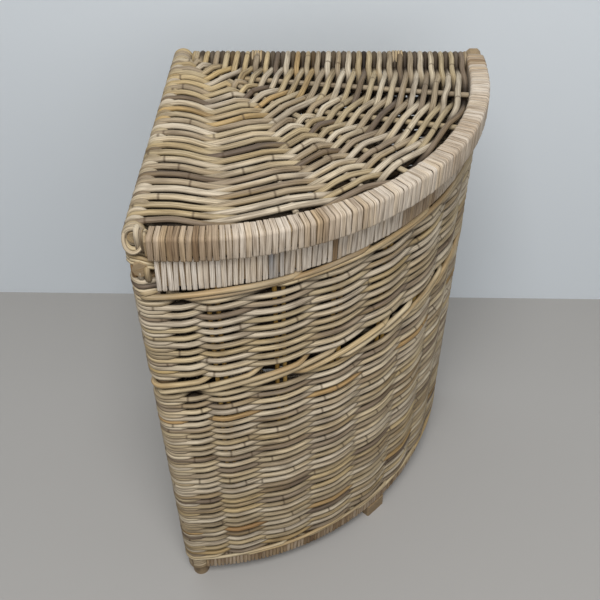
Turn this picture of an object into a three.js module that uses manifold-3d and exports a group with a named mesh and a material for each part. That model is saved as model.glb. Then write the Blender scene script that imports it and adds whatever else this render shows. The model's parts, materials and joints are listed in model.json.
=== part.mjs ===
// Corner laundry basket of woven rattan: a quarter-round body on posts, and a lid hinged along its back.
// Millimetres, +Z up. The origin is on the floor, under the middle of the whole basket.
// Plan coordinates below start at the lid's back left corner: x runs right along the back, and y is
// negative towards the curved front.
import * as THREE from 'three';
import { mergeVertices } from 'three/addons/utils/BufferGeometryUtils.js';
import Module from 'manifold-3d';

// Overall sizes
const totalHeight = 650;
const lidSide = 400;
const gap = 0.3;
const restGap = 0.4;

// Lid
const lidRimWidth = 23.5;
const lidRimHeight = 31;
const lidStraight = 58;
const lidPanelThickness = 17;
const lidPanelTopDrop = 2;
const spokeRadius = 3.5;
const spokeDrop = 10;
const spokeEndClearance = 1.6;

// Woven rows of the lid, as distances from the corner along either rail
const lidRowStart = 33;
const lidRowMargin = 5.5;
const lidRowPitch = 6.5;
const lidRowRadius = 3.2;
const lidRowSag = 2.6;
const lidRowSlope = 0.09;
const innerRowStraight = 26;
const fullStraightPlace = 150;
const spokeApproach = 60;
const lidSkin = 0.8;
// Distances from the lid's back left corner to the spokes' inner ends
const mainSpokeStart = 44;
const sideSpokeStart = 122;
const outerSpokeStart = 240;
// Degrees down from the back: where each spoke starts as seen from the corner, and where it points
const spokes = [
  { name: 'lid_spoke_1', start: sideSpokeStart, place: 36.4, bearing: 6.5 },
  { name: 'lid_spoke_2', start: outerSpokeStart, place: 38.2, bearing: 10 },
  { name: 'lid_spoke_3', start: mainSpokeStart, place: 43.2, bearing: 43 },
  { name: 'lid_spoke_4', start: outerSpokeStart, place: 48.3, bearing: 56.3 },
  { name: 'lid_spoke_5', start: sideSpokeStart, place: 47.6, bearing: 70.8 },
];

// Round poles with their wraps, along the straight sides of the lid and of the body's rim
const poleRadius = 9;
const wrapRadius = 13;
const wrapGroove = 1.2;
const wrapPitch = 20;

// Body plan
const bodyInset = 2;
const bodyTopSide = 396;
const bodyTopStraight = 21;
const bodyFootSide = 388;
const bodyFootStraight = 0;
const weaveThickness = 18;
const cornerRadius = 19;
const postRadius = 12;

// Body levels
const footHeight = 22;
const footBindingHeight = 28;
const rimHeight = 44;
const upperWeaveHeight = 122;
const middleWaleZone = 27;

// Bound hoops of the body
const rimWidth = 22;
const footBindingWidth = 24;
const bindingInset = 3;
const bindingWall = 2.5;
const bindingGroove = 1.2;
const bindingPitch = 14.5;
const bindingChamfer = 4;
const postClearance = 1.2;

// Long rods that run round the body between the woven bands
const waleRadius = 3.2;
const waleOffset = 3.2;
const waleEndGap = 2;
const middleWaleSpread = 12;

// Stakes that the weave runs over and under
const frontStakeCount = 7;
const frontStakeFirst = 12.3;
const frontStakeStep = 10.4;
const sideStakeCount = 4;
const stakeWidth = 15;
const stakeThickness = 5.6;
const stakeOffset = 10;
const stakeCorner = 2;

// Woven rows of the body: each passes in front of one stake and behind the next
const weaveRowPitch = 5.8;
const weaveDip = 6;
const weaveFirstBearing = 7.2;
const weaveLastBearing = 85.1;

// Base
const basePanelThickness = 10;
const basePanelTopDrop = 2;
const battenRadius = 5;
const battenPlaces = [120, 240];
const bottomPoleRadius = 9;
const bottomPoleHeight = 14;
const footBlockWidth = 36;
const footBlockDepth = 22;
const footBlockBearing = 47;

// Hinge: a thin rod behind the rails, held by bands round the body's rail and turning in bands of the lid
const hingeRodRadius = 2.5;
const hingeRodMargin = 40;
const bandThickness = 1.2;
const bandWidth = 14;
const bandSpacing = 18;
const hingePlaces = [110, 290];

// Facets
const arcSteps = 18;
const cornerSteps = 4;
const roundSides = 12;
const rodSides = 8;
const waleSides = 6;
const bandSteps = 8;
const cutOverrun = 1;
const flatTolerance = 0.02;

const rightAngle = Math.PI / 2;
const radians = THREE.MathUtils.degToRad;

// Levels that follow from the sizes above
const rimTop = totalHeight - lidRimHeight - restGap;
const rimBottom = rimTop - rimHeight;
const footBindingTop = footHeight + footBindingHeight;
const bottomWaleLevel = footBindingTop + gap + waleRadius;
const lowerWeaveBottom = bottomWaleLevel + waleRadius + gap;
const upperWaleLevel = rimBottom - gap - waleRadius;
const lowerWaleLevel = upperWaleLevel - gap - 2 * waleRadius;
const upperWeaveTop = lowerWaleLevel - waleRadius - gap;
const upperWeaveBottom = upperWeaveTop - upperWeaveHeight;
const lowerWeaveTop = upperWeaveBottom - middleWaleZone;
const middleWaleLevel = (upperWeaveBottom + lowerWeaveTop) / 2;
const rimPoleLevel = rimTop - wrapRadius;
const rimPoleOffset = wrapRadius + bindingInset;
const lidPoleLevel = totalHeight - wrapRadius - gap - bandThickness;
const postTop = rimPoleLevel - wrapRadius - gap;
const sideWeaveTop = postTop - gap - bandThickness;
const hingeLevel = (lidPoleLevel + rimPoleLevel) / 2;
const hingeReach = hingeRodRadius + gap + bandThickness;

// The body narrows evenly from its rim to its foot
function bodySide(level) {
  const share = (level - footHeight) / (rimTop - footHeight);
  return THREE.MathUtils.lerp(bodyFootSide, bodyTopSide, share);
}

function bodyStraight(level) {
  const share = THREE.MathUtils.clamp((level - footHeight) / (rimTop - footHeight), 0, 1);
  return THREE.MathUtils.lerp(bodyFootStraight, bodyTopStraight, share);
}

function geometryFrom(positions, indices) {
  const geometry = new THREE.BufferGeometry();
  geometry.setAttribute('position', new THREE.Float32BufferAttribute(positions, 3));
  geometry.setIndex(indices);
  return geometry;
}

// Volume inside a closed mesh, negative where its faces point inwards
function signedVolume(positions, indices) {
  const corner = (k) => new THREE.Vector3().fromArray(positions, 3 * indices[k]);
  let volume = 0;
  for (let i = 0; i < indices.length; i += 3) {
    volume += corner(i).dot(corner(i + 1).cross(corner(i + 2))) / 6;
  }
  return volume;
}

function closedGeometry(positions, indices) {
  if (signedVolume(positions, indices) > 0) return geometryFrom(positions, indices);
  const turned = [];
  for (let i = 0; i < indices.length; i += 3) {
    turned.push(indices[i], indices[i + 2], indices[i + 1]);
  }
  return geometryFrom(positions, turned);
}

// Solid through level outlines that have the same number of points. Both ends are faced alike, so the first
// and last outlines are alike too.
function stackGeometry(outlines, levels) {
  const count = outlines[0].length;
  const last = (outlines.length - 1) * count;
  const positions = [];
  for (const [ring, outline] of outlines.entries()) {
    for (const point of outline) positions.push(point.x, point.y, levels[ring]);
  }
  const indices = [];
  for (const [a, b, c] of THREE.ShapeUtils.triangulateShape(outlines[0], [])) {
    indices.push(a, c, b);
    indices.push(a + last, b + last, c + last);
  }
  for (let ring = 0; ring < last; ring += count) {
    for (let i = 0; i < count; i += 1) {
      const here = ring + i;
      const next = ring + ((i + 1) % count);
      indices.push(here, next, next + count);
      indices.push(here, next + count, here + count);
    }
  }
  return closedGeometry(positions, indices);
}

function loftGeometry(lower, upper, lowerLevel, upperLevel) {
  return stackGeometry([lower, upper], [lowerLevel, upperLevel]);
}

// Rings of points joined into a skin; all rings have the same number of points
function pushSkin(rings, positions, indices, turned) {
  const first = positions.length / 3;
  const count = rings[0].length;
  for (const ring of rings) {
    for (const point of ring) positions.push(point.x, point.y, point.z);
  }
  for (let r = 0; r + 1 < rings.length; r += 1) {
    for (let i = 0; i < count; i += 1) {
      const a = first + r * count + i;
      const b = first + r * count + ((i + 1) % count);
      if (turned) indices.push(a, b + count, b, a, a + count, b + count);
      else indices.push(a, b, b + count, a, b + count, a + count);
    }
  }
  return first;
}

// Solid rod through rings of points
function rodGeometry(rings) {
  const positions = [];
  const indices = [];
  pushSkin(rings, positions, indices, false);
  const count = rings[0].length;
  const last = (rings.length - 1) * count;
  for (let i = 1; i + 1 < count; i += 1) {
    indices.push(0, i + 1, i);
    indices.push(last, last + i, last + i + 1);
  }
  return closedGeometry(positions, indices);
}

// Tube with a wall: an outer skin, an inner skin, and a flat ring at each end
function sleeveGeometry(outerRings, innerRings) {
  const positions = [];
  const indices = [];
  const count = outerRings[0].length;
  const outer = pushSkin(outerRings, positions, indices, false);
  const inner = pushSkin(innerRings, positions, indices, true);
  const outerLast = outer + (outerRings.length - 1) * count;
  const innerLast = inner + (innerRings.length - 1) * count;
  for (let i = 0; i < count; i += 1) {
    const next = (i + 1) % count;
    indices.push(outer + i, inner + next, outer + next);
    indices.push(outer + i, inner + i, inner + next);
    indices.push(outerLast + i, outerLast + next, innerLast + next);
    indices.push(outerLast + i, innerLast + next, innerLast + i);
  }
  return closedGeometry(positions, indices);
}

// Ring of points: a section's u axis lies along the station's normal, and its v axis points up
function ringAt(station, level, section) {
  return section.map(([u, v]) => new THREE.Vector3(
    station.x + station.nx * u,
    station.y + station.ny * u,
    level + v,
  ));
}

function roundSection(radius, sides) {
  const section = [];
  for (let i = 0; i < sides; i += 1) {
    const angle = (2 * Math.PI * i) / sides;
    section.push([radius * Math.cos(angle), radius * Math.sin(angle)]);
  }
  return section;
}

// Rectangle with its corners cut off, about its own middle
function chamferedSection(width, height, chamfer) {
  const w = width / 2;
  const h = height / 2;
  return [
    [w - chamfer, -h], [w, -h + chamfer], [w, h - chamfer], [w - chamfer, h],
    [-w + chamfer, h], [-w, h - chamfer], [-w, -h + chamfer], [-w + chamfer, -h],
  ];
}

// Curved front of a hoop: straight, a quarter arc, straight. An offset moves it inwards.
class FrontCurve {
  constructor(side, straight, offset, startInset, endInset) {
    this.centre = straight;
    this.reach = side - offset;
    this.radius = side - straight - offset;
    this.startAngle = Math.asin(Math.max(0, startInset - straight) / this.radius);
    this.endAngle = rightAngle - Math.asin(Math.max(0, endInset - straight) / this.radius);
    this.startLength = Math.max(0, straight - startInset);
    this.endLength = Math.max(0, straight - endInset);
    this.arcLength = this.radius * (this.endAngle - this.startAngle);
    this.length = this.startLength + this.arcLength + this.endLength;
  }

  at(distance) {
    const along = distance - this.startLength;
    if (along < 0) return { x: this.centre + along, y: -this.reach, nx: 0, ny: -1 };
    if (along > this.arcLength) {
      return { x: this.reach, y: -this.centre + along - this.arcLength, nx: 1, ny: 0 };
    }
    return this.atAngle(this.startAngle + along / this.radius);
  }

  atAngle(angle) {
    const nx = Math.sin(angle);
    const ny = -Math.cos(angle);
    return { x: this.centre + this.radius * nx, y: -this.centre + this.radius * ny, nx, ny };
  }

  // Stations at the ends, at both ends of the arc and evenly along it
  stations() {
    const distances = [];
    if (this.startLength > 0) distances.push(0);
    for (let i = 0; i <= arcSteps; i += 1) {
      distances.push(this.startLength + (this.arcLength * i) / arcSteps);
    }
    if (this.endLength > 0) distances.push(this.length);
    return distances.map((distance) => this.at(distance));
  }

  // Stations at every groove and crest of wraps of about the given pitch
  wrapStations(pitch) {
    const wraps = Math.round(this.length / pitch);
    const stations = [];
    for (let i = 0; i <= 2 * wraps; i += 1) {
      stations.push(this.at((this.length * i) / (2 * wraps)));
    }
    return stations;
  }
}

function plainSides(level, offset) {
  const front = new FrontCurve(bodySide(level), bodyStraight(level), offset, cornerRadius, cornerRadius);
  return { left: [], front: front.stations().slice(1, -1), back: [] };
}

// Plan outline of the body, anticlockwise from the back left corner, with corners moved inwards by an offset
function bodyOutline(level, offset, { left, front, back } = plainSides(level, offset)) {
  const side = bodySide(level);
  const centres = [
    [cornerRadius, -cornerRadius, rightAngle],
    [cornerRadius, -(side - cornerRadius), 2 * rightAngle],
    [side - cornerRadius, -cornerRadius, 0],
  ];
  const radius = cornerRadius - offset;
  const corner = ([x, y, start]) => {
    const points = [];
    for (let i = 0; i <= cornerSteps; i += 1) {
      const angle = start + (rightAngle * i) / cornerSteps;
      points.push(new THREE.Vector2(x + radius * Math.cos(angle), y + radius * Math.sin(angle)));
    }
    return points;
  };
  const points = (stations) => stations.map((station) => new THREE.Vector2(station.x, station.y));
  return [
    ...corner(centres[0]), ...points(left), ...corner(centres[1]),
    ...points(front), ...corner(centres[2]), ...points(back),
  ];
}

function circleOutline(x, y, radius, sides) {
  const points = [];
  for (let i = 0; i < sides; i += 1) {
    const angle = (2 * Math.PI * (i + 0.5)) / sides;
    points.push(new THREE.Vector2(x + radius * Math.cos(angle), y + radius * Math.sin(angle)));
  }
  return points;
}

// Outline across a station: a rectangle with cut corners, its width along the hoop
function crossOutline(station, width, thickness, chamfer) {
  return chamferedSection(thickness, width, chamfer).map(([u, v]) => new THREE.Vector2(
    station.x + station.nx * u - station.ny * v,
    station.y + station.ny * u + station.nx * v,
  ));
}

// Solids for joins and cuts
const wasm = await Module();
wasm.setup();

function toSolid(geometry) {
  const bare = geometry.clone();
  bare.deleteAttribute('normal');
  bare.deleteAttribute('uv');
  const merged = mergeVertices(bare);
  const vertProperties = new Float32Array(merged.attributes.position.array);
  const triVerts = new Uint32Array(merged.index.array);
  return new wasm.Manifold(new wasm.Mesh({ numProp: 3, vertProperties, triVerts }));
}

function toGeometry(solid) {
  const mesh = solid.simplify(flatTolerance).getMesh();
  return geometryFrom(Array.from(mesh.vertProperties), Array.from(mesh.triVerts));
}

// Materials
const rod = new THREE.MeshStandardMaterial({ color: '#b3a486', roughness: 0.65, metalness: 0 });
const strip = new THREE.MeshStandardMaterial({ color: '#bcae98', roughness: 0.7, metalness: 0 });
const stakeCane = new THREE.MeshStandardMaterial({ color: '#b99a5f', roughness: 0.6, metalness: 0 });
const pole = new THREE.MeshStandardMaterial({ color: '#a98f6b', roughness: 0.75, metalness: 0 });

const body = new THREE.Group();
body.position.set(bodyInset, -bodyInset, 0);
const lid = new THREE.Group();

function add(group, name, geometry, material) {
  const mesh = new THREE.Mesh(geometry, material);
  mesh.name = name;
  group.add(mesh);
}

// Posts: round poles that lean with the body's taper and stand on the floor
const postPlaces = {
  post_back_left: () => [cornerRadius, -cornerRadius],
  post_front_left: (level) => [cornerRadius, -(bodySide(level) - cornerRadius)],
  post_back_right: (level) => [bodySide(level) - cornerRadius, -cornerRadius],
};

function postGeometry(place, radius, bottom, top) {
  const lower = circleOutline(...place(bottom), radius, roundSides);
  const upper = circleOutline(...place(top), radius, roundSides);
  return loftGeometry(lower, upper, bottom, top);
}

for (const [name, place] of Object.entries(postPlaces)) {
  add(body, name, postGeometry(place, postRadius, 0, postTop), pole);
}

// Stakes: upright canes between the bottom binding and the rim
function frontStakeStation(level, index) {
  const curve = new FrontCurve(bodySide(level), bodyStraight(level), stakeOffset, 0, 0);
  return curve.atAngle(radians(frontStakeFirst + frontStakeStep * index));
}

const sideStakePitch = (bodyFootSide - 2 * cornerRadius) / (sideStakeCount + 1);

function leftStation(offset, index) {
  return { x: offset, y: -(cornerRadius + sideStakePitch * (index + 1)), nx: -1, ny: 0 };
}

function backStation(offset, index) {
  return { x: cornerRadius + sideStakePitch * (index + 1), y: -offset, nx: 0, ny: 1 };
}

function stakeGeometry(stationAt, index, growth, bottom, top) {
  const width = stakeWidth + 2 * growth;
  const thickness = stakeThickness + 2 * growth;
  const lower = crossOutline(stationAt(bottom, index), width, thickness, stakeCorner);
  const upper = crossOutline(stationAt(top, index), width, thickness, stakeCorner);
  return loftGeometry(lower, upper, bottom, top);
}

const stakeRows = [
  { side: 'front', stationAt: frontStakeStation, count: frontStakeCount },
  { side: 'left', stationAt: (level, index) => leftStation(stakeOffset, index), count: sideStakeCount },
  { side: 'back', stationAt: (level, index) => backStation(stakeOffset, index), count: sideStakeCount },
];

for (const { side, stationAt, count } of stakeRows) {
  const top = side === 'front' ? rimBottom - gap : sideWeaveTop;
  for (let i = 0; i < count; i += 1) {
    const geometry = stakeGeometry(stationAt, i, 0, footBindingTop + gap, top);
    add(body, `stake_${side}_${i + 1}`, geometry, stakeCane);
  }
}

// Woven bands: a wall all round the body with channels for the posts and the stakes, cut into three sides
function sectorOutline(side, level) {
  const reach = bodySide(level);
  const inner = weaveThickness + cornerRadius;
  const outer = 2 * cornerRadius;
  const half = gap / 2;
  const left = [
    [-outer, outer - half], [inner, -inner - half],
    [inner, -(reach - inner) + half], [-outer, -(reach + outer) + half],
  ];
  if (side === 'left') return left.map(([x, y]) => new THREE.Vector2(x, y)).reverse();
  if (side === 'back') return left.map(([x, y]) => new THREE.Vector2(-y, -x));
  return [
    [-outer + half, -(reach + outer)], [reach + outer, -(reach + outer)], [reach + outer, outer - half],
    [reach - inner, -inner - half], [inner + half, -(reach - inner)],
  ].map(([x, y]) => new THREE.Vector2(x, y));
}

// Bearings where the rows of the front are furthest out or in: both ends and every stake
const weaveBearings = [weaveFirstBearing];
for (let i = 0; i < frontStakeCount; i += 1) weaveBearings.push(frontStakeFirst + frontStakeStep * i);
weaveBearings.push(weaveLastBearing);

// Outline that is moved in by an offset at each of the front's bearings and at each stake of the sides
function wovenOutline(level, offsetAt) {
  const front = weaveBearings.map((bearing, index) => new FrontCurve(
    bodySide(level), bodyStraight(level), offsetAt(index), 0, 0,
  ).atAngle(radians(bearing)));
  const left = [];
  const back = [];
  for (let i = 0; i < sideStakeCount; i += 1) {
    left.push(leftStation(offsetAt(i + 1), i));
    back.unshift(backStation(offsetAt(i + 1), i));
  }
  return bodyOutline(level, 0, { left, front, back });
}

// Outer face of a band. Neighbouring rows are out and in at the same stake, and the band's edges are even.
function wovenWallGeometry(bottom, top) {
  const rows = Math.round((top - bottom) / weaveRowPitch);
  const edgeOffset = () => weaveDip / 2;
  const outlines = [wovenOutline(bottom, edgeOffset)];
  const levels = [bottom];
  for (let row = 0; row < rows; row += 1) {
    const level = bottom + ((top - bottom) * (row + 0.5)) / rows;
    outlines.push(wovenOutline(level, (index) => ((row + index) % 2 === 0 ? weaveDip : 0)));
    levels.push(level);
  }
  outlines.push(wovenOutline(top, edgeOffset));
  levels.push(top);
  return stackGeometry(outlines, levels);
}

function weaveRing(bottom, top) {
  const wall = wovenWallGeometry(bottom, top);
  const below = bottom - cutOverrun;
  const above = top + cutOverrun;
  const hollow = loftGeometry(
    bodyOutline(below, weaveThickness), bodyOutline(above, weaveThickness), below, above,
  );
  let ring = toSolid(wall).subtract(toSolid(hollow));
  for (const place of Object.values(postPlaces)) {
    ring = ring.subtract(toSolid(postGeometry(place, postRadius + gap, below, above)));
  }
  for (const { stationAt, count } of stakeRows) {
    for (let i = 0; i < count; i += 1) {
      ring = ring.subtract(toSolid(stakeGeometry(stationAt, i, gap, below, above)));
    }
  }
  return ring;
}

const weaveBands = [
  { name: 'lower', bottom: lowerWeaveBottom, top: lowerWeaveTop, sides: ['left', 'back', 'front'] },
  { name: 'upper', bottom: upperWeaveBottom, top: upperWeaveTop, sides: ['front'] },
  { name: 'upper', bottom: upperWeaveBottom, top: sideWeaveTop, sides: ['left', 'back'] },
];

for (const { name, bottom, top, sides } of weaveBands) {
  const ring = weaveRing(bottom, top);
  const below = bottom - cutOverrun;
  const above = top + cutOverrun;
  for (const side of sides) {
    const sector = loftGeometry(
      sectorOutline(side, below), sectorOutline(side, above), below, above,
    );
    add(body, `weave_${side}_${name}`, toGeometry(ring.intersect(toSolid(sector))), rod);
  }
}

// Wales: long rods outside the posts and stakes. Most run once round the body, with their ends behind.
function roundPath(level) {
  const outline = bodyOutline(level, waleOffset);
  const start = outline[0].clone();
  const end = outline[outline.length - 1].clone();
  end.x = start.x + waleEndGap;
  return [...outline, end];
}

// The top wales cover only the curved front, where the side bands end at the corner posts
function frontPath(level) {
  const cornerPoints = cornerSteps + 1;
  const middle = Math.ceil(cornerPoints / 2);
  return bodyOutline(level, waleOffset).slice(cornerPoints + middle, -middle);
}

function waleGeometry(path, level) {
  const rings = path.map((point, i) => {
    const before = path[Math.max(0, i - 1)];
    const after = path[Math.min(path.length - 1, i + 1)];
    const along = after.clone().sub(before).normalize();
    const station = { x: point.x, y: point.y, nx: along.y, ny: -along.x };
    return ringAt(station, level, roundSection(waleRadius, waleSides));
  });
  return rodGeometry(rings);
}

const wales = [
  { name: 'wale_bottom', level: bottomWaleLevel, pathAt: roundPath },
  { name: 'wale_middle_lower', level: middleWaleLevel - middleWaleSpread / 2, pathAt: roundPath },
  { name: 'wale_middle_upper', level: middleWaleLevel + middleWaleSpread / 2, pathAt: roundPath },
  { name: 'wale_top_lower', level: lowerWaleLevel, pathAt: frontPath },
  { name: 'wale_top_upper', level: upperWaleLevel, pathAt: frontPath },
];

for (const { name, level, pathAt } of wales) {
  add(body, name, waleGeometry(pathAt(level), level), stakeCane);
}

// Bound hoop: a pole of rectangular section inside a sleeve of wraps
function poleInBinding(curve, level, width, height) {
  const section = chamferedSection(width, height, bindingChamfer);
  return rodGeometry(curve.stations().map((station) => ringAt(station, level, section)));
}

function bindingSleeve(curve, level, width, height) {
  const bore = chamferedSection(
    width - 2 * bindingWall, height - 2 * bindingWall, bindingChamfer,
  );
  const crest = chamferedSection(width, height, bindingChamfer);
  const groove = chamferedSection(
    width - 2 * bindingGroove, height - 2 * bindingGroove, bindingChamfer,
  );
  const outer = curve.wrapStations(bindingPitch)
    .map((station, i) => ringAt(station, level, i % 2 === 0 ? groove : crest));
  const inner = curve.stations().map((station) => ringAt(station, level, bore));
  return sleeveGeometry(outer, inner);
}

function addBoundHoop(group, poleName, bindingName, curve, level, width, height) {
  const poleWidth = width - 2 * (bindingWall + gap);
  const poleHeight = height - 2 * (bindingWall + gap);
  add(group, poleName, poleInBinding(curve, level, poleWidth, poleHeight), pole);
  add(group, bindingName, bindingSleeve(curve, level, width, height), strip);
}

const hoopStart = cornerRadius + postRadius + postClearance;
const rimCurve = new FrontCurve(
  bodyTopSide, bodyTopStraight, bindingInset + rimWidth / 2, hoopStart, hoopStart,
);
addBoundHoop(
  body, 'rim_pole_front', 'rim_binding_front', rimCurve, rimTop - rimHeight / 2, rimWidth, rimHeight,
);
const footLevel = footHeight + footBindingHeight / 2;
const footCurve = new FrontCurve(
  bodySide(footLevel), bodyStraight(footLevel), bindingInset + footBindingWidth / 2, hoopStart, hoopStart,
);
addBoundHoop(
  body, 'bottom_pole_front', 'bottom_binding_front', footCurve, footLevel,
  footBindingWidth, footBindingHeight,
);

// Straight poles and their wraps. Each runs from one plan point to another at one level.
function straightStations(from, to, count) {
  const along = new THREE.Vector2(to[0] - from[0], to[1] - from[1]);
  const normal = along.clone().normalize();
  const stations = [];
  for (let i = 0; i <= count; i += 1) {
    const share = i / count;
    stations.push({
      x: from[0] + along.x * share, y: from[1] + along.y * share, nx: normal.y, ny: -normal.x,
    });
  }
  return stations;
}

function straightPole(from, to, level, radius, sides) {
  const section = roundSection(radius, sides);
  return rodGeometry(straightStations(from, to, 1).map((s) => ringAt(s, level, section)));
}

function wrapSleeve(from, to, level) {
  const length = Math.hypot(to[0] - from[0], to[1] - from[1]);
  const steps = 2 * Math.round(length / wrapPitch);
  const crest = roundSection(wrapRadius, rodSides);
  const groove = roundSection(wrapRadius - wrapGroove, rodSides);
  const bore = roundSection(poleRadius + gap, rodSides);
  const outer = straightStations(from, to, steps)
    .map((station, i) => ringAt(station, level, i % 2 === 0 ? groove : crest));
  const inner = straightStations(from, to, 1).map((station) => ringAt(station, level, bore));
  return sleeveGeometry(outer, inner);
}

function addWrappedPole(group, poleName, wrapsName, from, to, level) {
  add(group, poleName, straightPole(from, to, level, poleRadius, rodSides), pole);
  add(group, wrapsName, wrapSleeve(from, to, level), rod);
}

const rimBackStart = rimPoleOffset + wrapRadius + gap;
addWrappedPole(
  body, 'rim_pole_left', 'rim_wraps_left',
  [rimPoleOffset, -bindingInset], [rimPoleOffset, -(bodyTopSide - bindingInset)], rimPoleLevel,
);
addWrappedPole(
  body, 'rim_pole_back', 'rim_wraps_back',
  [rimBackStart, -rimPoleOffset], [bodyTopSide - bindingInset, -rimPoleOffset], rimPoleLevel,
);

// Bottom poles along the straight sides, from post to post
const bottomPoleLevel = footHeight + bottomPoleHeight;
const bottomSide = bodySide(bottomPoleLevel);
const poleStart = cornerRadius + postRadius + gap;
add(body, 'bottom_pole_left', straightPole(
  [cornerRadius, -poleStart], [cornerRadius, -(bottomSide - poleStart)],
  bottomPoleLevel, bottomPoleRadius, rodSides,
), pole);
add(body, 'bottom_pole_back', straightPole(
  [poleStart, -cornerRadius], [bottomSide - poleStart, -cornerRadius],
  bottomPoleLevel, bottomPoleRadius, rodSides,
), pole);

// Woven base on two battens
const baseTop = footBindingTop - basePanelTopDrop;
const baseBottom = baseTop - basePanelThickness;
const baseOffset = cornerRadius + bottomPoleRadius + gap;

function baseGeometry() {
  const side = bodySide(baseBottom);
  const front = new FrontCurve(side, bodyStraight(baseBottom), baseOffset, baseOffset, baseOffset);
  const outline = [new THREE.Vector2(baseOffset, -baseOffset)];
  for (const station of front.stations()) outline.push(new THREE.Vector2(station.x, station.y));
  let panel = toSolid(loftGeometry(outline, outline, baseBottom, baseTop));
  for (const place of Object.values(postPlaces)) {
    const post = postGeometry(place, postRadius + gap, baseBottom - cutOverrun, baseTop + cutOverrun);
    panel = panel.subtract(toSolid(post));
  }
  return toGeometry(panel);
}

add(body, 'base_weave', baseGeometry(), rod);

const battenLevel = baseBottom - gap - battenRadius;
for (const [index, x] of battenPlaces.entries()) {
  const straight = bodyStraight(battenLevel);
  const reach = bodySide(battenLevel) - straight - bindingInset - footBindingWidth - gap;
  const farEdge = x + battenRadius - straight;
  const front = -straight - Math.sqrt(reach * reach - farEdge * farEdge);
  const back = -(cornerRadius + bottomPoleRadius + gap);
  add(body, `base_batten_${index + 1}`, straightPole(
    [x, back], [x, front], battenLevel, battenRadius, rodSides,
  ), pole);
}

// Wooden foot block under the middle of the curved bottom binding
const blockCurve = new FrontCurve(
  bodyFootSide, bodyFootStraight, bindingInset + footBindingWidth / 2, 0, 0,
);
const blockOutline = crossOutline(
  blockCurve.atAngle(radians(footBlockBearing)), footBlockWidth, footBlockDepth, stakeCorner,
);
add(body, 'foot_block_front', loftGeometry(blockOutline, blockOutline, 0, footHeight - gap), pole);

// Lid rim: a bound pole from the left rail round to the back
const lidRailOffset = wrapRadius;
const lidRimStart = 2 * wrapRadius + gap;
const lidRimCurve = new FrontCurve(lidSide, lidStraight, lidRimWidth / 2, lidRimStart, 0);
addBoundHoop(
  lid, 'lid_rim_pole', 'lid_rim_binding', lidRimCurve, totalHeight - lidRimHeight / 2,
  lidRimWidth, lidRimHeight,
);
addWrappedPole(
  lid, 'lid_pole_left', 'lid_wraps_left',
  [lidRailOffset, 0], [lidRailOffset, -lidSide], lidPoleLevel,
);
addWrappedPole(
  lid, 'lid_pole_back', 'lid_wraps_back',
  [lidRimStart, -lidRailOffset], [lidSide - lidRimWidth - gap, -lidRailOffset], lidPoleLevel,
);

// Lid spokes lie inside the woven panel, and end at the rim
const lidPanelTop = totalHeight - lidPanelTopDrop;
const lidPanelBottom = lidPanelTop - lidPanelThickness;
const spokeLevel = totalHeight - spokeDrop;
const lidRowLevel = spokeLevel + spokeRadius + gap + lidSkin;

// Distance along a bearing from a plan point to the rim's inner face
function distanceToRim(x, y, dx, dy) {
  const reach = lidSide - lidStraight - lidRimWidth - gap;
  const px = x - lidStraight;
  const py = y + lidStraight;
  const along = px * dx + py * dy;
  return -along + Math.sqrt(along * along - px * px - py * py + reach * reach);
}

// Inner end of a spoke
function spokePoint({ start, place }) {
  return { x: start * Math.cos(radians(place)), y: -start * Math.sin(radians(place)) };
}

function spokeGeometry(spoke, growth, overrun) {
  const { x, y } = spokePoint(spoke);
  const dx = Math.cos(radians(spoke.bearing));
  const dy = -Math.sin(radians(spoke.bearing));
  const length = distanceToRim(x, y, dx, dy) + overrun;
  const from = [x - dx * growth, y - dy * growth];
  const to = [x + dx * length, y + dy * length];
  return straightPole(from, to, spokeLevel, spokeRadius + growth, rodSides);
}

for (const spoke of spokes) {
  add(lid, spoke.name, spokeGeometry(spoke, 0, -spokeEndClearance), stakeCane);
}

// Where a row meets a line that leaves a point: how far out along the line, and how far along the row
function rowMeeting(curve, point, bearing) {
  const x = point.x - curve.centre;
  const y = point.y + curve.centre;
  const dx = Math.cos(radians(bearing));
  const dy = -Math.sin(radians(bearing));
  const along = x * dx + y * dy;
  const reach = -along + Math.sqrt(Math.max(0, along * along - x * x - y * y + curve.radius ** 2));
  const angle = Math.atan2(x + reach * dx, -(y + reach * dy));
  return { reach, distance: curve.startLength + curve.radius * (angle - curve.startAngle) };
}

// Even place for one entry of a list, between the nearest entries on both sides that are known
function evenPlace(values, index) {
  const before = values.findLastIndex((value, i) => i < index && value !== null);
  const after = values.findIndex((value, i) => i > index && value !== null);
  return THREE.MathUtils.lerp(values[before], values[after], (index - before) / (after - before));
}

// Stations of a row: its rails, and the spokes between them. A spoke that crosses the row has nearness 1.
// Inside its start its station is spaced evenly, and moves over to the spoke as the rows come near it.
function lidRowStations(curve) {
  const order = [...spokes].reverse();
  const distances = [0, ...order.map(() => null), curve.length];
  const nearness = distances.map(() => 1);
  for (const spoke of order.toSorted((a, b) => a.start - b.start)) {
    const index = order.indexOf(spoke) + 1;
    const { reach, distance } = rowMeeting(curve, spokePoint(spoke), spoke.bearing);
    const near = THREE.MathUtils.clamp(1 + reach / spokeApproach, 0, 1);
    const ahead = rowMeeting(curve, { x: 0, y: 0 }, spoke.place).distance;
    const inside = THREE.MathUtils.lerp(evenPlace(distances, index), ahead, near);
    distances[index] = near < 1 ? inside : distance;
    nearness[index] = near;
  }
  return distances.map((distance, i) => ({ distance, near: nearness[i] }));
}

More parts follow.
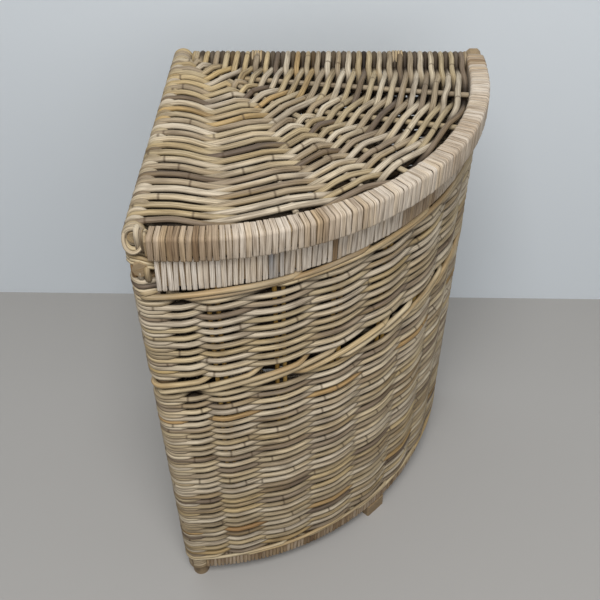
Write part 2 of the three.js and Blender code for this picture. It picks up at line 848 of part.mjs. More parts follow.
// Top of one lid row: over the rails and spokes in turn, under the other rail, and sagging in between
function lidRowPoints(curve, row) {
  const stations = lidRowStations(curve);
  let turns = row;
  const heights = stations.map(({ near }, i) => {
    if (near < 1) return lidRowLevel - lidRowSag * (1 - near);
    const over = turns % 2 === 0;
    const atRail = i === 0 || i === stations.length - 1;
    turns += 1;
    if (over) return lidPanelTop;
    return atRail ? lidPanelBottom + lidRowRadius : lidRowLevel;
  });
  const points = [];
  for (const [i, { distance }] of stations.entries()) {
    if (i > 0) {
      const before = stations[i - 1].distance;
      const middle = curve.at((before + distance) / 2);
      const sag = Math.min(lidRowSag, lidRowSlope * (distance - before));
      points.push(new THREE.Vector3(middle.x, middle.y, lidRowLevel - sag));
    }
    const { x, y } = curve.at(distance);
    points.push(new THREE.Vector3(x, y, heights[i]));
  }
  return points;
}

// Woven panel: a grid of rows from the corner out to the rim, over a flat underside
function wovenPanelGeometry() {
  const edge = lidSide - lidRimWidth - gap;
  const lastRow = lidSide - lidRimWidth - lidRowMargin;
  const steps = Math.round((lastRow - lidRowStart) / lidRowPitch);
  const rows = [];
  for (let row = 0; row <= steps; row += 1) {
    const place = lidRowStart + ((lastRow - lidRowStart) * row) / steps;
    const share = Math.min(1, (place - lidRowStart) / (fullStraightPlace - lidRowStart));
    const straight = THREE.MathUtils.lerp(innerRowStraight, lidStraight, share);
    rows.push(lidRowPoints(new FrontCurve(place, straight, 0, lidRimStart, lidRimStart), row));
  }
  rows.push(lidRowPoints(new FrontCurve(edge, lidStraight, 0, lidRimStart, lidRimStart), steps + 1));
  const points = [new THREE.Vector3(lidRimStart, -lidRimStart, lidRowLevel), ...rows.flat()];
  const positions = [];
  for (const point of points) positions.push(point.x, point.y, point.z);
  for (const point of points) positions.push(point.x, point.y, lidPanelBottom);
  const under = points.length;
  const count = rows[0].length;
  const indices = [];
  const addFace = (a, b, c) => indices.push(a, b, c, a + under, c + under, b + under);
  const addWall = (a, b) => indices.push(a, a + under, b + under, a, b + under, b);
  const vertex = (row, i) => 1 + row * count + i;
  for (let i = 0; i + 1 < count; i += 1) {
    addFace(0, vertex(0, i), vertex(0, i + 1));
    addWall(vertex(rows.length - 1, i), vertex(rows.length - 1, i + 1));
    for (let row = 0; row + 1 < rows.length; row += 1) {
      addFace(vertex(row, i), vertex(row + 1, i), vertex(row + 1, i + 1));
      addFace(vertex(row, i), vertex(row + 1, i + 1), vertex(row, i + 1));
    }
  }
  addWall(0, vertex(0, 0));
  addWall(vertex(0, count - 1), 0);
  for (let row = 0; row + 1 < rows.length; row += 1) {
    addWall(vertex(row, 0), vertex(row + 1, 0));
    addWall(vertex(row + 1, count - 1), vertex(row, count - 1));
  }
  return closedGeometry(positions, indices);
}

function lidPanelGeometry() {
  let panel = toSolid(wovenPanelGeometry());
  for (const spoke of spokes) {
    panel = panel.subtract(toSolid(spokeGeometry(spoke, gap, lidRimWidth)));
  }
  for (const place of hingePlaces) {
    const reach = bandWidth / 2 + gap;
    const clear = (wrapRadius + 2 * gap + bandThickness) / Math.cos(Math.PI / roundSides);
    panel = panel.subtract(toSolid(straightPole(
      [place - reach, -lidRailOffset], [place + reach, -lidRailOffset], lidPoleLevel, clear, roundSides,
    )));
  }
  return toGeometry(panel);
}

add(lid, 'lid_weave', lidPanelGeometry(), rod);

// Hinge bands: a loop of cane round a wrapped rail and the hinge rod
function bandLoop(rail, grow) {
  const wide = wrapRadius + gap + grow;
  const narrow = hingeRodRadius + gap + grow;
  const away = new THREE.Vector2(-rail.x, hingeLevel - rail.y);
  const turn = Math.acos((wide - narrow) / away.length());
  const heading = away.angle();
  const loop = new THREE.Path();
  loop.absarc(rail.x, rail.y, wide, heading + turn, heading - turn + 2 * Math.PI, false);
  loop.absarc(0, hingeLevel, narrow, heading - turn, heading + turn, false);
  return loop.getPoints(bandSteps);
}

function bandGeometry(railY, railLevel, middle) {
  const rail = new THREE.Vector2(railY, railLevel);
  const shape = new THREE.Shape(bandLoop(rail, bandThickness));
  shape.holes.push(new THREE.Path(bandLoop(rail, 0)));
  const geometry = new THREE.ExtrudeGeometry(shape, { depth: bandWidth, bevelEnabled: false });
  const toPlan = new THREE.Matrix4().makeBasis(
    new THREE.Vector3(0, 1, 0), new THREE.Vector3(0, 0, 1), new THREE.Vector3(1, 0, 0),
  );
  geometry.applyMatrix4(toPlan);
  geometry.translate(middle - bandWidth / 2, 0, 0);
  return geometry;
}

const hinge = new THREE.Group();
add(hinge, 'hinge_rod', straightPole(
  [hingePlaces[0] - hingeRodMargin, 0], [hingePlaces[1] + hingeRodMargin, 0],
  hingeLevel, hingeRodRadius, rodSides,
), stakeCane);
for (const [index, side] of ['left', 'right'].entries()) {
  const outward = index === 0 ? -bandSpacing : bandSpacing;
  const bodyBand = bandGeometry(-(bodyInset + rimPoleOffset), rimPoleLevel, hingePlaces[index] + outward);
  add(hinge, `hinge_band_body_${side}`, bodyBand, strip);
  const lidBand = bandGeometry(-lidRailOffset, lidPoleLevel, hingePlaces[index]);
  add(lid, `hinge_band_lid_${side}`, lidBand, strip);
}

const basket = new THREE.Group();
basket.position.set(-lidSide / 2, (lidSide - hingeReach) / 2, 0);
basket.add(body, hinge, lid);

export default basket;
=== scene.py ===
"""Finish of a quarter-round corner laundry basket of woven kubu rattan with a hinged woven lid.

Every rod, strip and cane is a real mesh that follows the frame's solids. Lengths are in metres. Plan
coordinates start at the lid's back left corner: x runs right along the back and y is negative towards the
curved front.
"""
import json
import logging
import math
import random
from collections.abc import Callable, Sequence
from dataclasses import dataclass, field
from enum import Enum
from functools import cache, partial

import bpy
from mathutils import Matrix, Vector


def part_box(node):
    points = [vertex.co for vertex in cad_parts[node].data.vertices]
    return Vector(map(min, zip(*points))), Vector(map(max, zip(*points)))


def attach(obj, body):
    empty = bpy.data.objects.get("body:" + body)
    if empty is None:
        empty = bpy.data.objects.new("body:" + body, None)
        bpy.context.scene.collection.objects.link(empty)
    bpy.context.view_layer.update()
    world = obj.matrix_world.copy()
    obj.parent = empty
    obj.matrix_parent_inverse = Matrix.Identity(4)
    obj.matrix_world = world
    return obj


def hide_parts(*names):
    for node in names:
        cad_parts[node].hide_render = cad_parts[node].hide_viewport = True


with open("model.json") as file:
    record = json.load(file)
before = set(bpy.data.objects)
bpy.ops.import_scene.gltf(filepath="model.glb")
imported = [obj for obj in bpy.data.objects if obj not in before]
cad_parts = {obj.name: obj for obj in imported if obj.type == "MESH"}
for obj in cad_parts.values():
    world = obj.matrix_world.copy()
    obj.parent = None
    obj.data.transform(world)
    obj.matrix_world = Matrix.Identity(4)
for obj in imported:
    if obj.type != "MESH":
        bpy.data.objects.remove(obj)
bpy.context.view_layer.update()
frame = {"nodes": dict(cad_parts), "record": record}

LOG = logging.getLogger("basket")
MM = 0.001
RIGHT_ANGLE = math.pi / 2
Node = bpy.types.Node
Socket = bpy.types.NodeSocket
Keys = list[tuple[float, float]]


class Body(Enum):
    """The two bodies that pieces ride on."""

    BASKET = "basket"
    LID = "lid"


class Slot(Enum):
    """The record's material slots."""

    ROD = "kubu_rod"
    STRIP = "binding_strip"
    CANE = "peeled_cane"
    POLE = "rattan_pole"


def linear(code: str) -> tuple[float, ...]:
    """Turns an sRGB hex code into a linear colour.

    Args:
        code: Six hex digits after a hash.

    Returns:
        The linear colour with an alpha of 1.
    """
    values = [int(code[i:i + 2], 16) / 255 for i in (1, 3, 5)]
    return (*(v / 12.92 if v <= 0.04045 else ((v + 0.055) / 1.055) ** 2.4 for v in values), 1.0)


def add_node(
    tree: bpy.types.NodeTree, kind: str, inputs: dict | None = None, **settings: object,
) -> Node:
    """Adds a node with its settings and links.

    Args:
        tree: The tree that gets the node.
        kind: The node's type name.
        inputs: By the input's name or number, its value, the socket or the node whose first output it
            is linked from.
        settings: The node's properties by name.

    Returns:
        The new node.
    """
    node = tree.nodes.new(kind)
    for label, value in settings.items():
        setattr(node, label, value)
    for key, source in (inputs or {}).items():
        if isinstance(source, Node):
            source = source.outputs[0]
        if isinstance(source, Socket):
            tree.links.new(source, node.inputs[key])
        else:
            node.inputs[key].default_value = source
    return node


def place_object(name: str, data: bpy.types.ID) -> bpy.types.Object:
    """Adds an object to the scene.

    Args:
        name: Its name.
        data: Its mesh, lamp or camera.

    Returns:
        The object.
    """
    added = bpy.data.objects.new(name, data)
    bpy.context.scene.collection.objects.link(added)
    return added


@cache
def levels(node: str) -> tuple[float, float]:
    """Lowest and highest level of one of the frame's solids."""
    low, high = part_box(node)
    return low.z, high.z


# Finishes


# How far the patterns move from a piece with a tint of 0 to one with 1, so that no two rods look the same
TINT_SHIFT = (7.3, 3.1, 5.9)


@dataclass(frozen=True)
class CaneFinish:
    """Rattan vine, whole or split: satin bast with fine grain along it and dark rings at its joints.

    A piece's tint from 0 to 1 picks its tone. Bast that faces down or is turned in behind its neighbours
    is darkened with painted shade. Sizes are in metres. Grain under half a millimetre
    would not show in a picture of the whole basket, so it is drawn at the widths given.
    """

    name: str
    slot: Slot
    tones: tuple[tuple[float, str], ...]
    stain: str
    flush: str = "#b08a52"
    flush_share: float = 0.5
    flush_length: float = 110 * MM
    stain_share: float = 0.55
    stain_length: float = 45 * MM
    grain: str = "#6f5d45"
    grain_share: float = 0.44
    grain_length: float = 30 * MM
    grain_width: float = 0.9 * MM
    joint: str = "#4e3d2a"
    joint_share: float = 0.5
    joint_spacing: float = 190 * MM
    joint_width: float = 1.7 * MM
    # Painted shade: the colour multiplied in where a piece is turned in behind its neighbours
    recess_shade: str = "#4b3d2f"
    # Painted shade: the colour multiplied in, by the given share, on faces that point down
    underside_shade: str = "#5d4c3a"
    underside_shade_share: float = 0.75
    roughness: float = 0.62
    bump: float = 0.25

    @cache
    def material(self, axis: int | None = None) -> bpy.types.Material:
        """Builds the material in layers, each over the last where its pattern passes between two values.

        Args:
            axis: The axis of the grain on the frame's own solids, which hold no fibre coordinates.

        Returns:
            The material.
        """
        name = self.name if axis is None else f"{self.name}_along_{'xyz'[axis]}"
        material = bpy.data.materials.new(name)
        material.use_nodes = True
        node = partial(add_node, material.node_tree)
        fibre, tint = self._coordinates(node, axis)
        own = node("ShaderNodeVectorMath", {0: tint, 1: TINT_SHIFT, 2: fibre}, operation="MULTIPLY_ADD")
        patterns = []
        for length, width, detail in (
            (self.grain_length, self.grain_width, 2.0),
            (self.stain_length, self.stain_length / 4, 3.0),
            (self.flush_length, self.flush_length / 8, 1.0),
        ):
            cells = (1 / length, 1 / width, 1 / width)
            drawn_out = node("ShaderNodeVectorMath", {0: own, 1: cells}, operation="MULTIPLY")
            inputs = {"Vector": drawn_out, "Scale": 1.0, "Detail": detail}
            patterns.append(node("ShaderNodeTexNoise", inputs))
        grain, stain, flush = patterns
        along = node("ShaderNodeSeparateXYZ", {0: own})
        away = node("ShaderNodeMath", {0: along, 1: self.joint_spacing / 2}, operation="PINGPONG")
        joint = node(
            "ShaderNodeMapRange",
            {"Value": away, "From Max": self.joint_width, "To Min": self.joint_share, "To Max": 0.0},
        )
        shade = node("ShaderNodeAttribute", attribute_name="shade").outputs["Fac"]
        facing = node("ShaderNodeSeparateXYZ", {0: node("ShaderNodeTexCoord").outputs["Normal"]})
        colour = node("ShaderNodeValToRGB", {"Fac": tint})
        ramp = colour.color_ramp.elements
        while len(ramp) < len(self.tones):
            ramp.new(0.5)
        for element, (place, code) in zip(ramp, self.tones):
            element.position = place
            element.color = linear(code)
        for code, kind, pattern, start, end, share in (
            (self.flush, "MIX", flush, 0.5, 0.7, self.flush_share),
            (self.stain, "MIX", stain, 0.48, 0.72, self.stain_share),
            (self.grain, "MULTIPLY", grain, 0.42, 0.68, self.grain_share),
            (self.joint, "MIX", joint, 0.0, 1.0, 1.0),
            # Painted shade: darker by the shade attribute, where the piece is turned in behind its
            # neighbours
            (self.recess_shade, "MULTIPLY", shade, 0.0, 1.0, 1.0),
            # Painted shade: darker where the object-space normal points down
            (self.underside_shade, "MULTIPLY", facing.outputs["Z"], 0.3, -0.7, self.underside_shade_share),
        ):
            limits = {"From Min": start, "From Max": end, "To Max": share}
            shows = node("ShaderNodeMapRange", {"Value": pattern, **limits})
            mix = node(
                "ShaderNodeMix", {0: shows, 6: colour, 7: linear(code)}, data_type="RGBA", blend_type=kind,
            )
            colour = mix.outputs[2]
        height = node("ShaderNodeMath", {0: grain, 1: joint}, operation="ADD")
        bump = node("ShaderNodeBump", {"Strength": self.bump, "Distance": 0.4 * MM, "Height": height})
        shader = material.node_tree.nodes["Principled BSDF"]
        shader.inputs["Roughness"].default_value = self.roughness
        shader.inputs["Specular IOR Level"].default_value = 0.35
        material.node_tree.links.new(colour, shader.inputs["Base Color"])
        material.node_tree.links.new(bump.outputs[0], shader.inputs["Normal"])
        return material

    @staticmethod
    def _coordinates(node: Callable[..., Node], axis: int | None) -> tuple[Socket, Socket]:
        """Fibre coordinates and tint: a piece's own, or from the place on one of the frame's solids.

        Args:
            node: Adds a node to the material's tree.
            axis: The axis of the grain, or None where the piece has its own coordinates.

        Returns:
            The sockets of the coordinates and the tint.
        """
        if axis is None:
            fibre, tint = (node("ShaderNodeAttribute", attribute_name=label) for label in ("fibre", "tint"))
            return fibre.outputs["Vector"], tint.outputs["Fac"]
        place = node("ShaderNodeTexCoord").outputs["Object"]
        parts = node("ShaderNodeSeparateXYZ", {0: place}).outputs
        fibre = node("ShaderNodeCombineXYZ", {i: parts[(axis + i) % 3] for i in range(3)})
        tint = node("ShaderNodeTexNoise", {"Vector": place, "Scale": 9.0, "Detail": 0.0})
        return fibre.outputs[0], tint.outputs[0]


# Unpeeled kubu rods, soaked and dried: grey-brown bast, golden where it is rubbed, with dark joints.
KUBU_ROD = CaneFinish(
    "weathered_kubu_rod", Slot.ROD,
    ((0.0, "#564a3f"), (0.1, "#7d6c5a"), (0.26, "#a4937b"), (0.42, "#baa885"), (0.56, "#c4b6a0"),
     (0.72, "#d2c4ab"), (0.84, "#c4ab79"), (1.0, "#a57d4f")),
    stain="#5f4d39", flush="#b2965f", flush_share=0.4, grain_share=0.6, joint_spacing=160 * MM,
    joint_width=2.1 * MM, joint_share=0.8,
)
# Rattan split into flat strips: pale matt core with strong grain and no joints.
SPLIT_STRIP = CaneFinish(
    "split_rattan_strip", Slot.STRIP,
    ((0.0, "#624a34"), (0.16, "#8f7659"), (0.32, "#b5a189"), (0.5, "#d1c3b1"), (0.74, "#e7dccd"),
     (0.9, "#c1b8ad"), (1.0, "#a3a3a4")),
    stain="#9c8365", flush="#c6a878", flush_share=0.35, stain_share=0.4, stain_length=30 * MM,
    grain_width=0.7 * MM, grain_share=0.64, joint_share=0.0, roughness=0.72, bump=0.35,
    underside_shade_share=0.15,
)
# Peeled cane: smooth, golden and a little glossier.
PEELED_CANE = CaneFinish(
    "golden_peeled_cane", Slot.CANE,
    ((0.0, "#a8843f"), (0.5, "#bf9a50"), (1.0, "#cfae69")),
    stain="#8a6a3c", joint_spacing=240 * MM, roughness=0.52,
)
# Thin washed cane: buff, between the rods and the golden canes.
WALE_CANE = CaneFinish(
    "buff_rattan_cane", Slot.CANE,
    ((0.0, "#a8977c"), (0.35, "#bda984"), (0.7, "#cdbd9d"), (1.0, "#bd9c60")),
    stain="#86704c", joint_spacing=270 * MM, roughness=0.55,
)
# Thick scraped poles: dull brown core with coarse grain.
BARE_POLE = CaneFinish(
    "bare_rattan_pole", Slot.POLE,
    ((0.0, "#7f6a50"), (0.5, "#a08a6c"), (1.0, "#c2ae8a")),
    stain="#6b5740", grain_width=1.2 * MM, joint_width=2 * MM, roughness=0.7,
)


# Paths and the trees that run on them


@dataclass
class Paths:
    """Paths gathered as a mesh of edges, with a thickness, tint and shade at each point."""

    points: list[Vector] = field(default_factory=list)
    edges: list[tuple[int, int]] = field(default_factory=list)
    values: dict[str, list[float]] = field(
        default_factory=lambda: {"thickness": [], "tint": [], "shade": []},
    )

    def add(
        self, path: Sequence[Vector], tint: float | list[float] = 0.5,
        thickness: float | list[float] = 1.0, shade: float | list[float] = 0.0,
    ) -> None:
        """Adds one open path, with values for all of it or for each point.

        Args:
            path: Its points in the row frame.
            tint: The tone from 0 to 1.
            thickness: The thickness as a share of the usual one.
            shade: How much painted shade darkens it, from 0 to 1, as where it is turned in behind its
                neighbours.
        """
        first = len(self.points)
        self.points.extend(path)
        self.edges.extend((first + i, first + i + 1) for i in range(len(path) - 1))
        for label, value in (("thickness", thickness), ("tint", tint), ("shade", shade)):
            self.values[label].extend(value if isinstance(value, list) else [value] * len(path))

    def as_object(self, name: str) -> bpy.types.Object:
        """Makes the object that a tree runs on.

        Args:
            name: Its name.

        Returns:
            The object, with the values as attributes.
        """
        mesh = bpy.data.meshes.new(name)
        mesh.from_pydata(self.points, self.edges, [])
        for label, values in self.values.items():
            mesh.attributes.new(label, "FLOAT", "POINT").data.foreach_set("value", values)
        return place_object(name, mesh)


class PathTree:
    """A Geometry Nodes tree with named inputs, which makes pieces along paths."""

    name: str
    inputs: dict[str, float]

    def __init__(self) -> None:
        """Makes the tree's sockets, its nodes and its end."""
        self.tree = bpy.data.node_groups.new(self.name, "GeometryNodeTree")
        self.node = partial(add_node, self.tree)
        new_socket = self.tree.interface.new_socket
        new_socket("Geometry", in_out="INPUT", socket_type="NodeSocketGeometry")
        for label, value in self.inputs.items():
            kind = "NodeSocketInt" if isinstance(value, int) else "NodeSocketFloat"
            new_socket(label, in_out="INPUT", socket_type=kind).default_value = value
        new_socket("material", in_out="INPUT", socket_type="NodeSocketMaterial")
        new_socket("Geometry", in_out="OUTPUT", socket_type="NodeSocketGeometry")
        self.size = self.node("NodeGroupInput").outputs
        realized = self.node("GeometryNodeRealizeInstances", {0: self.grow()})
        dressed = self.node(
            "GeometryNodeSetMaterial", {"Geometry": realized, "Material": self.size["material"]},
        )
        self.node("NodeGroupOutput", {0: dressed})

    def grow(self) -> Node:
        """Adds the nodes that make the geometry, and returns the last."""
        raise NotImplementedError

    def sweep(self, curve: Node, profile: Node, scale: Node | float = 1.0) -> Node:
        """Sweeps a section along a curve, and keeps the length along it and the place on the section.

        Args:
            curve: Gives the curve.
            profile: Gives the section.
            scale: The section's scale.

        Returns:
            The node of the swept mesh.
        """
        node = self.node
        length = node("GeometryNodeSplineParameter").outputs["Length"]
        place = node("GeometryNodeInputPosition")
        measured, section = (
            node(
                "GeometryNodeStoreNamedAttribute", {"Geometry": line, "Name": label, 3: value},
                data_type=kind, domain="POINT",
            ) for line, label, value, kind in (
                (curve, "along", length, "FLOAT"), (profile, "section", place, "FLOAT_VECTOR"),
            )
        )
        swept = node(
            "GeometryNodeCurveToMesh",
            {"Curve": measured, "Profile Curve": section, "Scale": scale, "Fill Caps": True},
        )
        return node("GeometryNodeSetShadeSmooth", {"Geometry": swept})

    def fibred(self, mesh: Node, radius: Socket | float = 1.0) -> Node:
        """Stores fibre coordinates: the length along the rod and the place round its section.

        Args:
            mesh: Gives the swept mesh.
            radius: The size of the section.

        Returns:
            The node of the mesh that holds them.
        """
        node = self.node
        along, section = (
            node("GeometryNodeInputNamedAttribute", {"Name": label}, data_type=kind)
            for label, kind in (("along", "FLOAT"), ("section", "FLOAT_VECTOR"))
        )
        around = node("ShaderNodeVectorMath", {0: section, "Scale": radius}, operation="SCALE")
        parts = node("ShaderNodeSeparateXYZ", {0: around}).outputs
        fibre = node("ShaderNodeCombineXYZ", {0: along, 1: parts[0], 2: parts[1]})
        return node(
            "GeometryNodeStoreNamedAttribute", {"Geometry": mesh, "Name": "fibre", 3: fibre},
            data_type="FLOAT_VECTOR", domain="POINT",
        )

    def make(
        self, name: str, paths: Paths, finish: CaneFinish, body: Body, replaced: Sequence[str] = (),
        **sizes: float,
    ) -> None:
        """Makes a plain mesh along paths and fits it to its body.

        Args:
            name: The piece's name.
            paths: The lines that the tree follows.
            finish: The finish.
            body: The body that it rides on.
            replaced: The frame's nodes that it stands for.
            sizes: The tree's inputs by name.
        """
        piece = paths.as_object(name)
        lines = piece.data
        modifier = piece.modifiers.new(self.name, "NODES")
        modifier.node_group = self.tree
        sockets = {item.name: item.identifier for item in self.tree.interface.items_tree}
        for label, value in {**sizes, "material": finish.material()}.items():
            modifier[sockets[label]] = value
        depsgraph = bpy.context.evaluated_depsgraph_get()
        piece.data = bpy.data.meshes.new_from_object(piece.evaluated_get(depsgraph))
        piece.modifiers.remove(modifier)
        bpy.data.meshes.remove(lines)
        piece.data.name = name
        piece.data.set_sharp_from_angle(angle=math.radians(50))
        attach(piece, body.value)
        if replaced:
            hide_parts(*replaced)
        LOG.info("%s: %d faces", name, len(piece.data.polygons))


class RodTree(PathTree):
    """Sweeps a round rod along every path, with the path's own thickness."""

    name = "rods_on_paths"
    inputs = {"radius": 3 * MM, "sides": 8}

    def grow(self) -> Node:
        """Adds curves from the edges, a circle swept along them, and fibre coordinates.

        Returns:
            The last node.
        """
        node, size = self.node, self.size
        curve = node("GeometryNodeMeshToCurve", {0: size["Geometry"]})
        circle = node("GeometryNodeCurvePrimitiveCircle", {"Radius": 1.0, "Resolution": size["sides"]})
        thickness = node("GeometryNodeInputNamedAttribute", {"Name": "thickness"}, data_type="FLOAT")
        radius = node("ShaderNodeMath", {0: size["radius"], 1: thickness}, operation="MULTIPLY")
        return self.fibred(self.sweep(curve, circle, radius), size["radius"])


class WrapTree(PathTree):
    """Sets a closed loop of strip or rod at every step along a path, square to the path."""

    name = "wraps_on_path"
    inputs = {
        "pitch": 6 * MM, "loop_width": 20 * MM, "loop_height": 20 * MM, "loop_corner": 4 * MM,
        "loop_steps": 4, "strip_width": 6 * MM, "strip_thickness": 2 * MM, "strip_corner": 0.8 * MM,
        "strip_steps": 2, "slant": 0.0, "tilt": 0.03, "unevenness": 0.02, "slit": 0.05,
        "tone_spread": 0.1, "seed": 1,
    }

    def grow(self) -> Node:
        """Adds loops of the strip's section, set on the resampled path and given a tint each.

        Returns:
            The last node.
        """
        node, size = self.node, self.size
        outlines = []
        for word, width, height in (
            ("loop", "loop_width", "loop_height"), ("strip", "strip_thickness", "strip_width"),
        ):
            flat = node(
                "GeometryNodeCurvePrimitiveQuadrilateral", {"Width": size[width], "Height": size[height]},
            )
            rounding = {"Radius": size[f"{word}_corner"], "Count": size[f"{word}_steps"]}
            outlines.append(node(
                "GeometryNodeFilletCurve", {"Curve": flat, "Limit Radius": True, **rounding}, mode="POLY",
            ))
        path = node("GeometryNodeMeshToCurve", {0: size["Geometry"]})
        steps = node("GeometryNodeResampleCurve", {"Curve": path, "Length": size["pitch"]}, mode="LENGTH")
        square = node(
            "FunctionNodeAxesToRotation",
            {"Primary Axis": node("GeometryNodeInputTangent"), "Secondary Axis": (0.0, 0.0, 1.0)},
            primary_axis="Z", secondary_axis="Y",
        )
        leans = {0: self._draw("tilt", 1, size["slant"]), 1: self._draw("tilt", 2)}
        lean = node("ShaderNodeCombineXYZ", leans)
        turned = node(
            "FunctionNodeRotateRotation",
            {"Rotation": square, "Rotate By": node("FunctionNodeEulerToRotation", {0: lean})},
            rotation_space="LOCAL",
        )
        thickness, tint = (
            node("GeometryNodeInputNamedAttribute", {"Name": label}, data_type="FLOAT")
            for label in ("thickness", "tint")
        )
        swell = self._draw("unevenness", 3, 1.0)
        girth = node("ShaderNodeMath", {0: swell, 1: thickness}, operation="MULTIPLY")
        scale = node("ShaderNodeCombineXYZ", {0: girth, 1: girth, 2: self._draw("slit", 5, 1.0)})
        wraps = node(
            "GeometryNodeInstanceOnPoints",
            {"Points": steps, "Instance": self.sweep(*outlines), "Rotation": turned, "Scale": scale},
        )
        tone = node("ShaderNodeClamp", {0: self._draw("tone_spread", 4, tint)})
        tinted = node(
            "GeometryNodeStoreNamedAttribute", {"Geometry": wraps, "Name": "tint", 3: tone},
            data_type="FLOAT", domain="INSTANCE",
        )
        return self.fibred(node("GeometryNodeRealizeInstances", {0: tinted}))

    def _draw(self, label: str, extra: int, middle: Node | Socket | float = 0.0) -> Node:
        """A random value for each wrap, up to an input's size to either side of a middle.

        Args:
            label: The input's name.
            extra: Added to the seed, so that each draw differs.
            middle: The middle value, or what gives it.

        Returns:
            The value's node.
        """
        node, size = self.node, self.size
        seed = node("ShaderNodeMath", {0: size["seed"], 1: float(extra)}, operation="ADD")
        lowest = node("ShaderNodeMath", {0: size[label], 1: -1.0}, operation="MULTIPLY")
        drawn = node("FunctionNodeRandomValue", {2: lowest, 3: size[label], 8: seed})
        return node("ShaderNodeMath", {0: drawn.outputs[1], 1: middle}, operation="ADD")


def smooth_step(share: float) -> float:
    """Half a cosine wave from 0 to 1."""
    return 0.5 - 0.5 * math.cos(math.pi * min(1.0, max(0.0, share)))


def bend(share: float, roundness: float = 0.7) -> float:
    """A rod's way from under one stake to over the next: steep at first, then rounded."""
    return roundness * math.sin(RIGHT_ANGLE * min(1.0, share)) + (1 - roundness) * share


def between_keys(keys: Keys, along: float, over_is_high: bool) -> float:
    """A value eased from key to key, as a rod bends from one stake to the next.

    Args:
        keys: Places and values, in order.
        along: The place asked for.
        over_is_high: Whether the higher values are where the rod passes over.

    Returns:
        The value there.
    """
    if along <= keys[0][0]:
        return keys[0][1]
    for (start, low), (end, high) in zip(keys, keys[1:]):
        if along <= end:
            share = (along - start) / max(end - start, 1e-9)
            if (high > low) is over_is_high:
                return low + (high - low) * bend(share)
            return high + (low - high) * bend(1 - share)
    return keys[-1][1]


def ring(centre: Vector, first: Vector, second: Vector, count: int = 26) -> list[Vector]:
    """Points of a loop that laps over its own start: first to where it starts, second a quarter turn on."""
    turns = [2 * math.pi * i / count for i in range(count + 2)]
    return [centre + first * math.cos(turn) + second * math.sin(turn) for turn in turns]


def straight_path(start: Vector, end: Vector, count: int = 12) -> list[Vector]:
    """Evenly spaced points of a straight line."""
    return [start.lerp(end, i / count) for i in range(count + 1)]


def solid_line(node: str) -> tuple[Vector, Vector, float]:
    """Measures one of the frame's straight round solids on its two end faces.

    Args:
        node: The solid's name.

    Returns:
        The ends of its middle line, and its radius.
    """
    low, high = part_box(node)
    axis = max(range(3), key=lambda i: high[i] - low[i])
    across = (axis + 1) % 3
    ends = []
    for bound in (low[axis], high[axis]):
        face = [v.co for v in frame["nodes"][node].data.vertices if abs(v.co[axis] - bound) < 0.1 * MM]
        least, most = (Vector([pick(co[i] for co in face) for i in range(3)]) for pick in (min, max))
        ends.append((least + most) / 2)
    return ends[0], ends[1], (most[across] - least[across]) / 2


@dataclass
class Sway:
    """Slow unevenness along a rod, as a sum of two waves with random phases."""

    rng: random.Random
    size: float
    length: float = 230 * MM

    def __post_init__(self) -> None:
        """Draws the phases."""
        self.phases = [self.rng.uniform(0, 2 * math.pi) for _ in range(2)]

    def at(self, along: float) -> float:
        """The shift at a place along the rod."""
        turn = 2 * math.pi * along / self.length
        return self.size * (
            0.6 * math.sin(turn + self.phases[0]) + 0.4 * math.sin(2.3 * turn + self.phases[1])
        )


# Plans


CORNER = Vector((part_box("lid_wraps_left")[0].x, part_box("lid_wraps_back")[1].y, 0.0))


def row_point(x: float, y: float, z: float) -> Vector:
    """Turns plan coordinates into the frame's own."""
    return CORNER + Vector((x, y, z))


@dataclass(frozen=True)
class HoopPlan:
    """Plan of a quarter hoop, a straight stub, an arc and a stub, cut to its distance from either side."""

    side: float
    straight: float
    start: float
    end: float

    @property
    def radius(self) -> float:
        """Radius of the arc."""
        return self.side - self.straight

    def _cut(self, inset: float) -> tuple[float, float]:
        """What a distance from the side leaves of the stub, and the angle that it takes from the arc."""
        return max(0.0, self.straight - inset), math.asin(max(0.0, inset - self.straight) / self.radius)

    @property
    def length(self) -> float:
        """Length from end to end."""
        (first, skipped), (last, missed) = self._cut(self.start), self._cut(self.end)
        return first + self.radius * (RIGHT_ANGLE - skipped - missed) + last

    def at(self, along: float) -> tuple[Vector, Vector]:
        """Finds a place on the hoop.

        Args:
            along: Distance from its start.

        Returns:
            The plan point and its outward normal.
        """
        stub, skipped = self._cut(self.start)
        beyond = along - stub - self.radius * (RIGHT_ANGLE - skipped)
        if along < stub:
            return Vector((self.start + along, -self.side)), Vector((0.0, -1.0))
        if beyond > 0:
            return Vector((self.side, -self.straight + beyond)), Vector((1.0, 0.0))
        angle = skipped + (along - stub) / self.radius
        normal = Vector((math.sin(angle), -math.cos(angle)))
        return Vector((self.straight, -self.straight)) + normal * self.radius, normal


